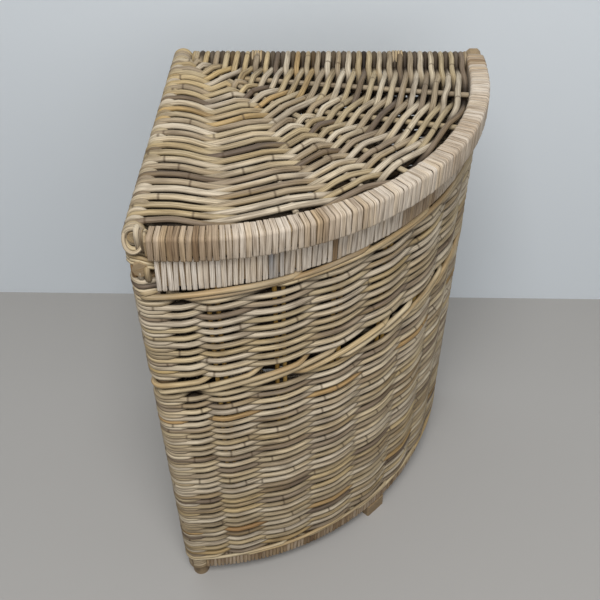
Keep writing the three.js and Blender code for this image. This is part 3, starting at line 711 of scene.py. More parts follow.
@dataclass(frozen=True)
class BodyPlan:
    """Plan of the body: a quarter round with rounded corners that narrows evenly to its foot."""

    top_side: float = 396 * MM
    foot_side: float = 388 * MM
    top_straight: float = 21 * MM
    foot_level: float = 22 * MM
    inset: float = 2 * MM
    corner: float = 19 * MM

    def _share(self, level: float) -> float:
        """Share of the way from the foot's level to the rim's."""
        return (level - self.foot_level) / (levels("rim_binding_front")[1] - self.foot_level)

    def side(self, level: float) -> float:
        """Straight side at a level."""
        return self.foot_side + (self.top_side - self.foot_side) * self._share(level)

    def straight(self, level: float) -> float:
        """Straight stub at a level."""
        return self.top_straight * min(1.0, max(0.0, self._share(level)))

    @property
    def lengths(self) -> list[float]:
        """Lengths of the outline's stretches: corner, left side, corner, front, corner, back."""
        turn, wall = RIGHT_ANGLE * self.corner, self.foot_side - 2 * self.corner
        return [turn, wall, turn, RIGHT_ANGLE * self.foot_side - 2 * self.corner, turn, wall]

    def start_of(self, stretch: int) -> float:
        """Place where a stretch starts."""
        return sum(self.lengths[:stretch])

    @property
    def total(self) -> float:
        """Length of the whole outline."""
        return sum(self.lengths)

    def front_place(self, degrees: float) -> float:
        """Place of a bearing along the curved front."""
        edge = math.degrees(math.asin(self.corner / self.foot_side))
        return self.start_of(3) + self.lengths[3] * ((degrees - edge) / (90 - 2 * edge))

    def at(self, level: float, along: float, offset: float) -> Vector:
        """Finds a point of the outline.

        Args:
            level: Height above the floor.
            along: Place along the outline, from the back left corner's back end.
            offset: How far inside the outline it lies.

        Returns:
            The point in the row frame.
        """
        rest, stretch, lengths = along % self.total, 0, self.lengths
        while stretch < 5 and rest > lengths[stretch]:
            rest -= lengths[stretch]
            stretch += 1
        share = min(1.0, rest / lengths[stretch])
        corner, side = self.corner, self.side(level)
        far = side - corner
        if stretch == 1:
            x, y = offset, -corner - (far - corner) * share
        elif stretch == 5:
            x, y = far - (far - corner) * share, -offset
        else:
            if stretch == 3:
                straight = self.straight(level)
                edge = math.asin((corner - straight) / (side - straight))
                middle, reach = (straight, -straight), side - straight - offset
                angle = -RIGHT_ANGLE + edge + (RIGHT_ANGLE - 2 * edge) * share
            else:
                middle = {0: (corner, -corner), 2: (corner, -far), 4: (far, -corner)}[stretch]
                reach, angle = corner - offset, RIGHT_ANGLE * ((1 + stretch // 2) % 3 + share)
            x, y = middle[0] + reach * math.cos(angle), middle[1] + reach * math.sin(angle)
        return row_point(x + self.inset, y - self.inset, level)


# Sub-assemblies


@dataclass
class WovenWalls:
    """The woven walls of the body: stakes, rows of rods round them and long wales between the bands."""

    rods: RodTree
    plan: BodyPlan
    row_pitch: float = 5.8 * MM
    rod_radius: float = 3.3 * MM
    outside: float = 3.5 * MM
    inside: float = 16.2 * MM
    post_reach: float = 4.2
    first_bend: float = 7.2
    post_outside: float = 4.1 * MM
    stake_offset: float = 9.8 * MM
    stake_radius: float = 2.8 * MM
    stake_spread: float = 9.4 * MM
    first_stake: float = 12.3
    stake_step: float = 10.4
    front_stakes: int = 7
    side_stakes: int = 4
    step: float = 5.5 * MM
    side_wale: float = 0.45
    side_girth: float = 1.3
    tuck: float = 26 * MM
    tuck_depth: float = 5 * MM
    jitter: float = 0.45 * MM
    # Painted shade: how much darker the rods get towards the foot
    foot_shade: float = 0.2

    def __post_init__(self) -> None:
        """Finds the bands' levels from the frame, and the places of the stakes and bends."""
        self.rng = random.Random(11)
        self.lower, self.upper = levels("weave_front_lower"), levels("weave_front_upper")
        plan, stakes = self.plan, self.side_stakes
        bearings = [self.first_stake + self.stake_step * k for k in range(self.front_stakes + 1)]
        bends = [plan.front_place(bearing) for bearing in (self.first_bend, *bearings)]
        pitch = plan.lengths[1] / (stakes + 1)
        left, back = ([plan.start_of(wall) + pitch * (i + 1) for i in range(stakes)] for wall in (1, 5))
        self.places = {"front": bends[1:-1], "left": left, "back": back}
        bends[-1] -= 3 * MM
        self.keys = [self._keys(kind, left, bends, back) for kind in (0, 1)]

    def _keys(self, kind: int, left: list[float], bends: list[float], back: list[float]) -> Keys:
        """Offsets of a row at each post and stake.

        Args:
            kind: 0 or 1, for rows that start over or under.
            left: Places of the left side's stakes.
            bends: Places of the front's bends: its stakes, with one more at each end.
            back: Places of the back's stakes.

        Returns:
            Places and offsets in order round the outline.
        """
        plan, offsets, keys = self.plan, (self.outside, self.inside), []
        for posts, places, first in (
            ((0.0, plan.start_of(1)), left, kind),
            ((plan.start_of(2), plan.front_place(self.post_reach)), bends, kind + 1),
            ((plan.start_of(4), plan.start_of(5)), back, kind),
            ((plan.total,), [], kind),
        ):
            keys += [(place, self.post_outside) for place in posts]
            keys += [(place, offsets[(first + i) % 2]) for i, place in enumerate(places)]
        return keys

    def build(self) -> None:
        """Builds the rows of both bands all round the body, in two pieces by their kind, and the rest."""
        for band, (bottom, top) in (("lower", self.lower), ("upper", self.upper)):
            count = round((top - bottom) / self.row_pitch)
            pitch = (top - bottom) / count
            walls = [f"weave_{side}_{band}" for side in ("left", "back", "front")]
            for kind, word in enumerate(("over", "under")):
                paths = Paths()
                for row in range(kind, count, 2):
                    level = bottom + pitch * (row + 0.5) + self.rng.uniform(-self.jitter, self.jitter)
                    self._row(paths, level, self.keys[kind])
                self._make_rods(f"{band}_rows_{word}", paths, walls)
        self._side_rows()
        self._stakes()
        self._wales()

    def _make_rods(self, name: str, paths: Paths, walls: Sequence[str] = ()) -> None:
        """Makes a piece of the walls' rods."""
        self.rods.make(name, paths, KUBU_ROD, Body.BASKET, walls, radius=self.rod_radius)

    def _row(self, paths: Paths, level: float, keys: Keys) -> None:
        """One row, made of one or two rods whose ends are tucked behind a stake.

        Args:
            paths: Where its rods are added.
            level: Its height.
            keys: Its offsets.
        """
        stops = [place for place, offset in keys if offset == self.inside]
        cuts = sorted(self.rng.sample(stops, self.rng.choice((1, 1, 2))))
        sway = Sway(self.rng, 0.7 * MM)
        for start, end in zip(cuts, [*cuts[1:], cuts[0] + self.plan.total]):
            self._rod(paths, start - self.tuck, end + self.tuck, level, keys, sway)

    def _rod(
        self, paths: Paths, start: float, end: float, level: float, keys: Keys, sway: Sway,
    ) -> None:
        """One rod of a row.

        Args:
            paths: Where it is added.
            start: Where it starts along the outline.
            end: Where it ends.
            level: Its height.
            keys: The row's offsets.
            sway: The row's unevenness.
        """
        steps = round((end - start) / self.step)
        path, shade, girth = [], [], []
        tint, usual = self.rng.betavariate(1.9, 2.0), self.rng.uniform(0.9, 1.08)
        # Painted shade: the rods get darker towards the foot
        foot_painted_shade = self.foot_shade * (1 - smooth_step(level / self.lower[1]))
        for i in range(steps + 1):
            along = start + (end - start) * i / steps
            place = along % self.plan.total
            girth.append(usual * self._girth(place))
            near_end = min(along - start, end - along)
            tucked = self.tuck_depth * (1 - smooth_step(near_end / self.tuck))
            offset = between_keys(keys, place, False) + tucked
            path.append(self.plan.at(level + sway.at(along), along, offset))
            # Painted shade: darker the deeper the rod is turned in behind the stakes
            depth = (offset - self.outside) / (self.inside - self.outside)
            shade.append(max(foot_painted_shade, 0.96 * smooth_step((depth - 0.24) / 0.4)))
        paths.add(path, tint, girth, shade)

    def _girth(self, place: float) -> float:
        """Rods' thickness as a share: full on the curved front, more on the two straight walls."""
        inside_front = min(place - self.plan.start_of(3), self.plan.start_of(4) - place)
        return 1 + (self.side_girth - 1) * smooth_step(-inside_front / (50 * MM))

    def _side_rows(self) -> None:
        """Rows above the top wales, which run from one end of the curved front round the back."""
        bottom, top = self.upper[1], levels("weave_left_upper")[1]
        paths = Paths()
        start = self.plan.start_of(4) - 12 * MM
        end = self.plan.total + self.plan.start_of(3) + 12 * MM
        for row in range(round((top - bottom) / self.row_pitch)):
            level = bottom + self.row_pitch * (row + 0.5)
            self._rod(paths, start, end, level, self.keys[row % 2], Sway(self.rng, 0.3 * MM))
        self._make_rods("top_side_rows", paths)

    def _stakes(self) -> None:
        """Pairs of upright canes that lean with the wall."""
        bottom = levels("stake_front_1")[0]
        for side, places in self.places.items():
            top = levels(f"stake_{side}_1")[1]
            heights = [bottom + (top - bottom) * i / 24 for i in range(25)]
            paths = Paths()
            for place in places:
                for middle in (place - 0.5 * self.stake_spread, place + 0.5 * self.stake_spread):
                    sway = Sway(self.rng, 0.5 * MM)
                    path = [self.plan.at(z, middle + sway.at(z), self.stake_offset) for z in heights]
                    paths.add(path, self.rng.random(), self.rng.uniform(0.92, 1.05))
            names = [f"stake_{side}_{i + 1}" for i in range(len(places))]
            self.rods.make(
                f"{side}_stakes", paths, PEELED_CANE, Body.BASKET, names, radius=self.stake_radius,
            )

    def _wales(self) -> None:
        """Long rods that slant from behind one stake over the next two or three."""
        plan = self.plan
        front = (plan.start_of(3) - 34 * MM, plan.start_of(4) + 10 * MM)
        whole = (-math.inf, math.inf)
        top, bottom = self.upper[1] + 3.5 * MM, levels("wale_bottom")[0]
        for name, limits, pitch, span, heights, radius, nodes in (
            ("top_wale", front, 112 * MM, 250 * MM, (top - 1 * MM, top + 9.5 * MM), 3.2 * MM,
             ("wale_top_lower", "wale_top_upper")),
            ("middle_wale", whole, 58 * MM, 160 * MM, (self.lower[1] + 1 * MM, self.upper[0] - 1 * MM),
             3.2 * MM, ("wale_middle_lower", "wale_middle_upper")),
            ("bottom_wale", whole, 96 * MM, 210 * MM, (bottom - 1 * MM, bottom + 8 * MM), 2.4 * MM,
             ("wale_bottom",)),
        ):
            paths = Paths()
            place, last = 0.0, plan.total
            if limits is front:
                place, last = limits[0] - 1.6 * pitch, limits[1] - 0.4 * pitch
            while place < last:
                in_front = plan.start_of(3) - 2 * pitch < place < plan.start_of(4)
                crowding = 1.0 if in_front else self.side_wale
                reach = span * self.rng.uniform(0.9, 1.1) * crowding
                start = place + pitch * self.rng.uniform(-0.1, 0.1)
                self._stroke(paths, start, reach, heights, radius, limits)
                place += pitch * crowding
            self.rods.make(name, paths, WALE_CANE, Body.BASKET, nodes, radius=radius)

    def _stroke(
        self, paths: Paths, start: float, span: float, heights: tuple[float, float], radius: float,
        limits: tuple[float, float],
    ) -> None:
        """One slanting rod of a wale, tucked in at both ends.

        Args:
            paths: Where it is added.
            start: Where it starts along the outline.
            span: How far it reaches.
            heights: Its levels at its start and end.
            radius: Its radius.
            limits: The stretch that it is cut to.
        """
        sway = Sway(self.rng, 0.9 * MM)
        path = []
        steps = round(span / self.step)
        least, most = max(0.0, (limits[0] - start) / span), min(1.0, (limits[1] - start) / span)
        for share in (i / steps for i in range(steps + 1)):
            if least <= share <= most:
                out = smooth_step(min(share - least, most - share) * span / (30 * MM))
                offset = self.inside + (radius + 0.2 * MM - self.inside) * out
                along = start + span * share
                level = heights[0] + (heights[1] - heights[0]) * share
                path.append(self.plan.at(level + sway.at(along), along, offset))
        tint, girth = self.rng.random(), self.rng.uniform(0.9, 1.1)
        if len(path) > 6:
            paths.add(path, tint, girth)


@dataclass
class Hoops:
    """The three hoops bound with strips: the lid's rim, the body's rim and the bottom."""

    wraps: WrapTree
    plan: BodyPlan
    lid_side: float = 400 * MM
    lid_straight: float = 58 * MM
    lid_start: float = 32 * MM
    lid_end: float = 12 * MM
    lid_width: float = 23.5 * MM
    body_width: float = 22 * MM
    post_reach: float = 13.2 * MM
    taper: float = 16 * MM
    wall: float = 2.4 * MM
    steps: int = 160

    def build(self) -> None:
        """Builds the bindings."""
        lid = HoopPlan(self.lid_side - self.lid_width / 2, self.lid_straight, self.lid_start, self.lid_end)
        self._hoop("lid_rim_strips", "lid_rim_binding", Body.LID, lid, 6.3 * MM, 0.9, self._lid_tones, 21)
        end = self.plan.corner + self.post_reach
        for name, node, setback, pitch, cover, tones, seed in (
            ("body_rim_strips", "rim_binding_front", 3 * MM, 5.9 * MM, 0.87, self._rim_tones, 22),
            ("bottom_strips", "bottom_binding_front", 5 * MM, 5.3 * MM, 0.8, self._bottom_tones, 23),
        ):
            level = sum(levels(node)) / 2
            side = self.plan.side(level) - (setback + self.body_width / 2)
            hoop = HoopPlan(side, self.plan.straight(level), end, end)
            self._hoop(name, node, Body.BASKET, hoop, pitch, cover, tones, seed)

    @staticmethod
    def _lid_tones(share: float) -> float:
        """Tone along the lid's rim: brown bast at its front end, then beige, and straw at the back.

        Args:
            share: The place as a share of the rim's length.

        Returns:
            The tone from 0 to 1.
        """
        if share < 0.11:
            return 0.24 + 0.06 * math.sin(150 * share)
        if share < 0.15:
            return 0.3 + 6 * (share - 0.11)
        if share > 0.94:
            return 0.3 + 0.05 * math.sin(130 * share)
        return 0.5 + 0.1 * math.sin(17 * share) + 0.06 * math.sin(61 * share)

    @staticmethod
    def _rim_tones(share: float) -> float:
        """Tone along the body's rim: pale, with greyer stretches and a few brown strips.

        Args:
            share: The place as a share of the rim's length.

        Returns:
            The tone from 0 to 1.
        """
        for start, end, tone in ((0.2, 0.24, 0.93), (0.5, 0.62, 0.26), (0.33, 0.35, 0.15)):
            if start < share < end:
                return tone
        if share > 0.62:
            return 0.5 + 0.08 * math.sin(40 * share)
        return 0.69 + 0.05 * math.sin(23 * share)

    @staticmethod
    def _bottom_tones(share: float) -> float:
        """Tone along the bottom: pale beige with a dark brown stretch."""
        return 0.05 if 0.27 < share < 0.315 else 0.27 + 0.08 * math.sin(29 * share)

    def _hoop(
        self, name: str, node: str, body: Body, hoop: HoopPlan, pitch: float, cover: float,
        tones: Callable[[float], float], seed: int,
    ) -> None:
        """One binding.

        Args:
            name: The piece's name.
            node: The frame's node that it stands for.
            body: The body that it rides on.
            hoop: The plan of its middle line.
            pitch: Strips' spacing.
            cover: Strips' width as a share of their spacing.
            tones: The tone at a share of the length.
            seed: The random seed.
        """
        bottom, top = levels(node)
        inset, width = (0.0, self.lid_width) if body is Body.LID else (self.plan.inset, self.body_width)
        shares = [i / self.steps for i in range(self.steps + 1)]
        places = [hoop.at(hoop.length * share)[0] for share in shares]
        path = [row_point(place.x + inset, place.y - inset, (bottom + top) / 2) for place in places]
        girths = [1.0] * len(shares)
        if body is Body.LID:
            girths = [0.74 + 0.26 * smooth_step((1 - share) * hoop.length / self.taper) for share in shares]
        paths = Paths()
        paths.add(path, [tones(share) for share in shares], girths)
        self.wraps.make(
            name, paths, SPLIT_STRIP, body, [node], pitch=pitch, loop_width=width - self.wall,
            loop_height=top - bottom - self.wall, loop_corner=3.2 * MM, loop_steps=4,
            strip_width=pitch * cover, strip_thickness=self.wall, strip_corner=0.9 * MM, slant=0.05,
            tilt=0.035, unevenness=0.02, slit=0.08, tone_spread=0.07, seed=seed,
        )


@dataclass
class Rails:
    """The wrapped rails along the straight sides of the body's rim, and the bound bottom poles."""

    rods: RodTree
    wraps: WrapTree
    rod: float = 6.4 * MM
    pitch: float = 7.0 * MM
    strip: float = 2.0 * MM
    strip_pitch: float = 5.6 * MM
    left_end: float = 12 * MM
    back_rise: float = 2 * MM

    def build(self) -> None:
        """Builds the wraps and what closes the left rail's front end."""
        self._left_end()
        for side, axis in (("left", 1), ("back", 0)):
            node = f"rim_wraps_{side}"
            low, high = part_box(node)
            if side == "left":
                low[axis] += self.left_end
            else:
                high.z += self.back_rise
            self._wraps(f"{side}_rail_wraps", low, high, axis, KUBU_ROD, [node], self.pitch, self.rod, 31)
            low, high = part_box(f"bottom_pole_{side}")
            for i in {0, 1, 2} - {axis}:
                low[i] -= self.strip
                high[i] += self.strip
            self._wraps(
                f"{side}_bottom_strips", low, high, axis, SPLIT_STRIP, [], self.strip_pitch, self.strip, 41,
            )

    def _left_end(self) -> None:
        """Short upright rods and golden strands that close the left rail's front end."""
        uprights, strands = Paths(), Paths()
        for x, y, tint, girth in (
            (9.5, -388.0, 0.97, 0.95), (16.6, -391.5, 0.62, 1.06), (24.2, -394.0, 0.3, 1.06),
        ):
            uprights.add([
                row_point(x * MM, (y + back) * MM, z * MM)
                for back, z in (
                    (8, 608), (2.5, 609.5), (0, 606), (-0.4, 600), (0, 594), (2, 590.5), (8, 590),
                )
            ], tint, girth)
        for drop, out in ((0.0, 0.0), (3.6, 1.0), (7.2, 2.0)):
            strands.add([
                row_point(x * MM, (y - out) * MM, (z - drop) * MM)
                for x, y, z in ((4.5, -352, 610), (2.6, -368, 613), (3.8, -380, 616), (9, -386.5, 617),
                                (17, -389, 617), (26, -391, 615.5), (31, -388, 612))
            ], 0.35 + 0.2 * out)
        self.rods.make("left_rail_end_rods", uprights, KUBU_ROD, Body.BASKET, radius=3.2 * MM, sides=10)
        self.rods.make("left_rail_end_strands", strands, WALE_CANE, Body.BASKET, radius=2.1 * MM)

    def _wraps(
        self, name: str, low: Vector, high: Vector, axis: int, finish: CaneFinish, replaced: list[str],
        pitch: float, thickness: float, seed: int,
    ) -> None:
        """Wraps along one straight rail.

        Args:
            name: The piece's name.
            low: Lowest corner of the wrapped rail.
            high: Its highest corner.
            axis: 0 if it runs along x, 1 if along y.
            finish: The finish.
            replaced: The nodes that it stands for.
            pitch: Spacing of the wraps.
            thickness: Thickness of the strip or rod.
            seed: The random seed along x, one less than along y.
        """
        start = (low + high) / 2
        end = start.copy()
        start[axis], end[axis] = low[axis] + pitch / 2, high[axis] - pitch / 2
        paths = Paths()
        paths.add(straight_path(start, end, 20))
        across = high.z - low.z - thickness
        self.wraps.make(
            name, paths, finish, Body.BASKET, replaced, pitch=pitch, loop_width=across,
            loop_height=across, loop_corner=across / 2, loop_steps=5, strip_width=pitch * 0.96,
            strip_thickness=thickness, strip_corner=thickness * 0.48, slant=0.0, tilt=0.03,
            unevenness=0.012, slit=0.04, tone_spread=0.3, seed=seed + axis,
        )


@dataclass
class LidPanel:
    """The woven lid: rods from round the left rail, over and under the spokes, to round the back rail."""

    rods: RodTree
    rod_radius: float = 3.6 * MM
    first: float = 33 * MM
    last: float = 371 * MM
    pitch: float = 6.5 * MM
    rail_radius: float = 13 * MM
    over: float = 6.4 * MM
    bulge: float = 2.8 * MM
    under: float = -7.4 * MM
    straight: float = 58 * MM
    small_straight: float = 26 * MM
    full_straight_from: float = 150 * MM
    step: float = 5 * MM
    crowding: float = 1.09
    front_gap: float = 3 * MM
    gap_width: float = 11 * MM
    gaps: tuple[tuple[float, float, float, float], ...] = (
        (95 * MM, -96 * MM, 14 * MM, 3.4 * MM), (175 * MM, -172 * MM, 15 * MM, 3.4 * MM),
        (253 * MM, -228 * MM, 15 * MM, 3.4 * MM), (325 * MM, -232 * MM, 130 * MM, 4.6 * MM),
        (52 * MM, -376 * MM, 26 * MM, 5 * MM),
    )

    def __post_init__(self) -> None:
        """Finds the levels and the spokes' plan lines, from inner to outer end, from the frame."""
        self.rng = random.Random(5)
        self.rail_level = sum(levels("lid_wraps_left")) / 2
        self.spoke_level = sum(levels("lid_spoke_1")) / 2
        self.reach = self.rail_radius - self.rod_radius
        self.spoke_nodes = [f"lid_spoke_{i}" for i in range(1, 6)]
        self.spokes = []
        for low, high in map(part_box, self.spoke_nodes):
            low, high = low - CORNER, high - CORNER
            self.spokes.append((Vector((low.x, high.y)), Vector((high.x, low.y))))

    def build(self) -> None:
        """Builds the rods, the spokes, the end wraps, and the rosette at the rail's front end."""
        count = round((self.last - self.first) / self.pitch)
        for kind, word in enumerate(("over", "under")):
            paths = Paths()
            for i in range(kind, count + 1, 2):
                self._rod(paths, self.first + (self.last - self.first) * i / count, kind)
            self.rods.make(
                f"lid_rods_{word}", paths, KUBU_ROD, Body.LID,
                ["lid_weave", "lid_wraps_left", "lid_wraps_back"], radius=self.rod_radius,
            )
        spokes = Paths()
        for i, ends in enumerate(self.spokes):
            line = [row_point(end.x, end.y, self.spoke_level) for end in ends]
            spokes.add(straight_path(*line, 30), 0.3 + 0.08 * i)
        self.rods.make("lid_spokes", spokes, KUBU_ROD, Body.LID, self.spoke_nodes, radius=3.4 * MM, sides=10)
        self._end_wraps()
        self._rosette()

    def _end_wraps(self) -> None:
        """Rods wound round the rails where no woven rod reaches."""
        paths = Paths()
        up, level, mid = Vector((0, 0, self.reach)), self.rail_level, self.rail_radius
        for middle, out in (
            *((row_point(mid, -place * MM, level), Vector((self.reach, 0, 0)))
              for place in (3.5, 10.0, 16.5, 23.0, 29.0, 376.5)),
            *((row_point(place * MM, -mid, level), Vector((0, self.reach, 0))) for place in (29.5, 376.5)),
        ):
            paths.add(ring(middle, -up, out), self.rng.uniform(0.25, 0.7), self.rng.uniform(0.95, 1.02))
        self.rods.make("lid_end_wraps", paths, KUBU_ROD, Body.LID, radius=self.rod_radius)

    def _rosette(self) -> None:
        """The left rail's cut front end with a rod curled round it and short upright rods beside it."""
        pole, curl = Paths(), Paths()
        end = row_point(self.rail_radius, -381 * MM, self.rail_level)
        pole.add(straight_path(end, end + Vector((0, 378 * MM, 0))), 0.9)
        self.rods.make(
            "lid_left_pole", pole, BARE_POLE, Body.LID, ["lid_pole_left"], radius=6.4 * MM, sides=20,
        )
        for place, lean, reach, tint, girth in (
            (-377.0, 8.0, 10.3, 0.42, 1.0), (-381.5, 10.0, 10.2, 0.55, 0.85),
        ):
            centre = row_point(self.rail_radius, place * MM, self.rail_level)
            rise = Vector((0, lean * MM, (reach + 0.4) * MM))
            curl.add(ring(centre, Vector((reach * MM, 0, 0)), rise), tint, girth)
        for x, y, tint, girth in (
            (17.4, -386.0, 0.66, 1.15), (22.6, -389.0, 0.2, 0.75), (26.6, -392.0, 0.35, 0.85),
        ):
            curl.add([
                row_point(x * MM, (y + back) * MM, z * MM)
                for back, z in ((9, 646.5), (3, 648), (0.4, 644), (0, 636), (0.3, 627), (2, 623.5), (8, 623))
            ], tint, girth)
        self.rods.make("lid_rosette", curl, KUBU_ROD, Body.LID, radius=2.6 * MM, sides=10)

    def _parted(self, point: Vector, normal: Vector) -> Vector:
        """Shifts a rod's plan point away from the panel's gaps.

        Args:
            point: The plan point.
            normal: The rod's outward direction there.

        Returns:
            The shifted point.
        """
        shifted = point.copy()
        for x, y, half_length, push in self.gaps:
            away = point - Vector((x, y))
            across = away.dot(normal)
            along = math.sqrt(max(0.0, away.length_squared - across * across))
            share = math.exp(-((along / half_length) ** 2) - (across / self.gap_width) ** 2)
            shifted += normal * push * share * math.tanh(across / (4 * MM))
        return shifted

    def _left_place(self, place: float) -> float:
        """Where a rod crosses the left rail: closer together at the corner, wider apart at the front."""
        share = (place - self.first) / (self.last - self.first)
        return self.first + (self.last - self.front_gap - self.first) * share ** self.crowding

    def _plan(self, place: float) -> tuple[list[Vector], list[float]]:
        """Plan of a rod between the two rails.

        Args:
            place: Where it crosses the back rail, from the corner.

        Returns:
            Its plan points and their distances from the left rail's inner side.
        """
        inner = 2 * self.rail_radius
        share = min(1.0, max(0.0, (place - self.first) / (self.full_straight_from - self.first)))
        straight = self.small_straight + (self.straight - self.small_straight) * share
        hoop = HoopPlan(place, straight, inner, inner)
        steps = max(4, round(hoop.length / self.step))
        shift = Vector((0.0, place - self._left_place(place)))
        distances = [hoop.length * i / steps for i in range(steps + 1)]
        shares = [1 - smooth_step(along / (26 * MM + 0.1 * hoop.length)) for along in distances]
        points = [self._parted(*hoop.at(along)) + shift * left for along, left in zip(distances, shares)]
        return points, distances

    def _keys(self, points: list[Vector], distances: list[float], kind: int) -> Keys:
        """Finds a rod's levels: over and under each spoke in turn, and the same at both rails.

        Args:
            points: The rod's plan points.
            distances: The distance at each.
            kind: 0 or 1, for rods that start over or under.

        Returns:
            Distances and levels.
        """
        heights, crossings = (self.over, self.under), []
        for spoke in self.spokes:
            pairs = zip(points, points[1:], distances)
            crossings += [along for a, b, along in pairs if self._crosses(a, b, *spoke)][:1]
        keys = [(along, heights[(kind + i + 1) % 2]) for i, along in enumerate(sorted(crossings))]
        return [(distances[0], heights[kind]), *keys, (distances[-1], heights[kind])]

    @staticmethod
    def _crosses(a: Vector, b: Vector, c: Vector, d: Vector) -> bool:
        """Tells whether the plan stretches from a to b and from c to d cross."""
        sides = [(q - p).cross(r - p) > 0 for p, q, r in ((a, b, c), (a, b, d), (c, d, a), (c, d, b))]
        return sides[0] != sides[1] and sides[2] != sides[3]

    def _rod(self, paths: Paths, place: float, kind: int) -> None:
        """One rod: round the left rail, across the panel and round the back rail.

        Args:
            paths: Where it is added.
            place: Where it crosses the back rail, from the corner.
            kind: 0 or 1, for rods that start over or under.
        """
        points, distances = self._plan(place)
        keys = self._keys(points, distances, kind)
        sway = Sway(self.rng, 0.5 * MM)
        wrap = [math.radians(a) for a in range(290, (80, 38)[kind], -18)]
        round_rail = [
            (self.rail_radius + self.reach * math.cos(a), self.rail_level + self.reach * math.sin(a))
            for a in wrap
        ]
        start = [row_point(out, -self._left_place(place), level) for out, level in round_rail]
        end = [row_point(place, -out, level) for out, level in reversed(round_rail)]
        across, shade = [], []
        for i in range(kind, len(points) - kind):
            point, along = points[i], distances[i]
            height = between_keys(keys, along, True)
            ahead = points[min(i + 1, len(points) - 1)] - points[max(i - 1, 0)]
            inward = Vector((-ahead.y, ahead.x)).normalized()
            inside = smooth_step(min(along, distances[-1] - along) / (30 * MM))
            point = point + inward * (self.bulge * inside * max(0.0, height / self.over))
            across.append(row_point(point.x, point.y, self.spoke_level + height + sway.at(along)))
            # Painted shade: rods are darker where they dip below the spokes
            shade.append(0.96 * smooth_step((2.2 * MM - height) / (6.5 * MM)))
        # Painted shade on the under rods where they wind round the back rail
        last = [0.85 * kind * smooth_step((160 - math.degrees(a)) / 60) for a in reversed(wrap)]
        shades = [0.0] * len(start) + shade + last
        paths.add(start + across + end, self._tone(place), self.rng.uniform(0.93, 1.08), shades)

    def _tone(self, place: float) -> float:
        """A rod's tone: any, with warmer rods in two bands near the corner.

        Args:
            place: Where it crosses the back rail, from the corner.

        Returns:
            The tone from 0 to 1.
        """
        tone = self.rng.betavariate(1.6, 2.4)
        for middle, width, warmth in ((100 * MM, 20 * MM, 0.35), (60 * MM, 14 * MM, 0.2)):
            tone += warmth * math.exp(-(((place - middle) / width) ** 2))
        return min(1.0, tone)


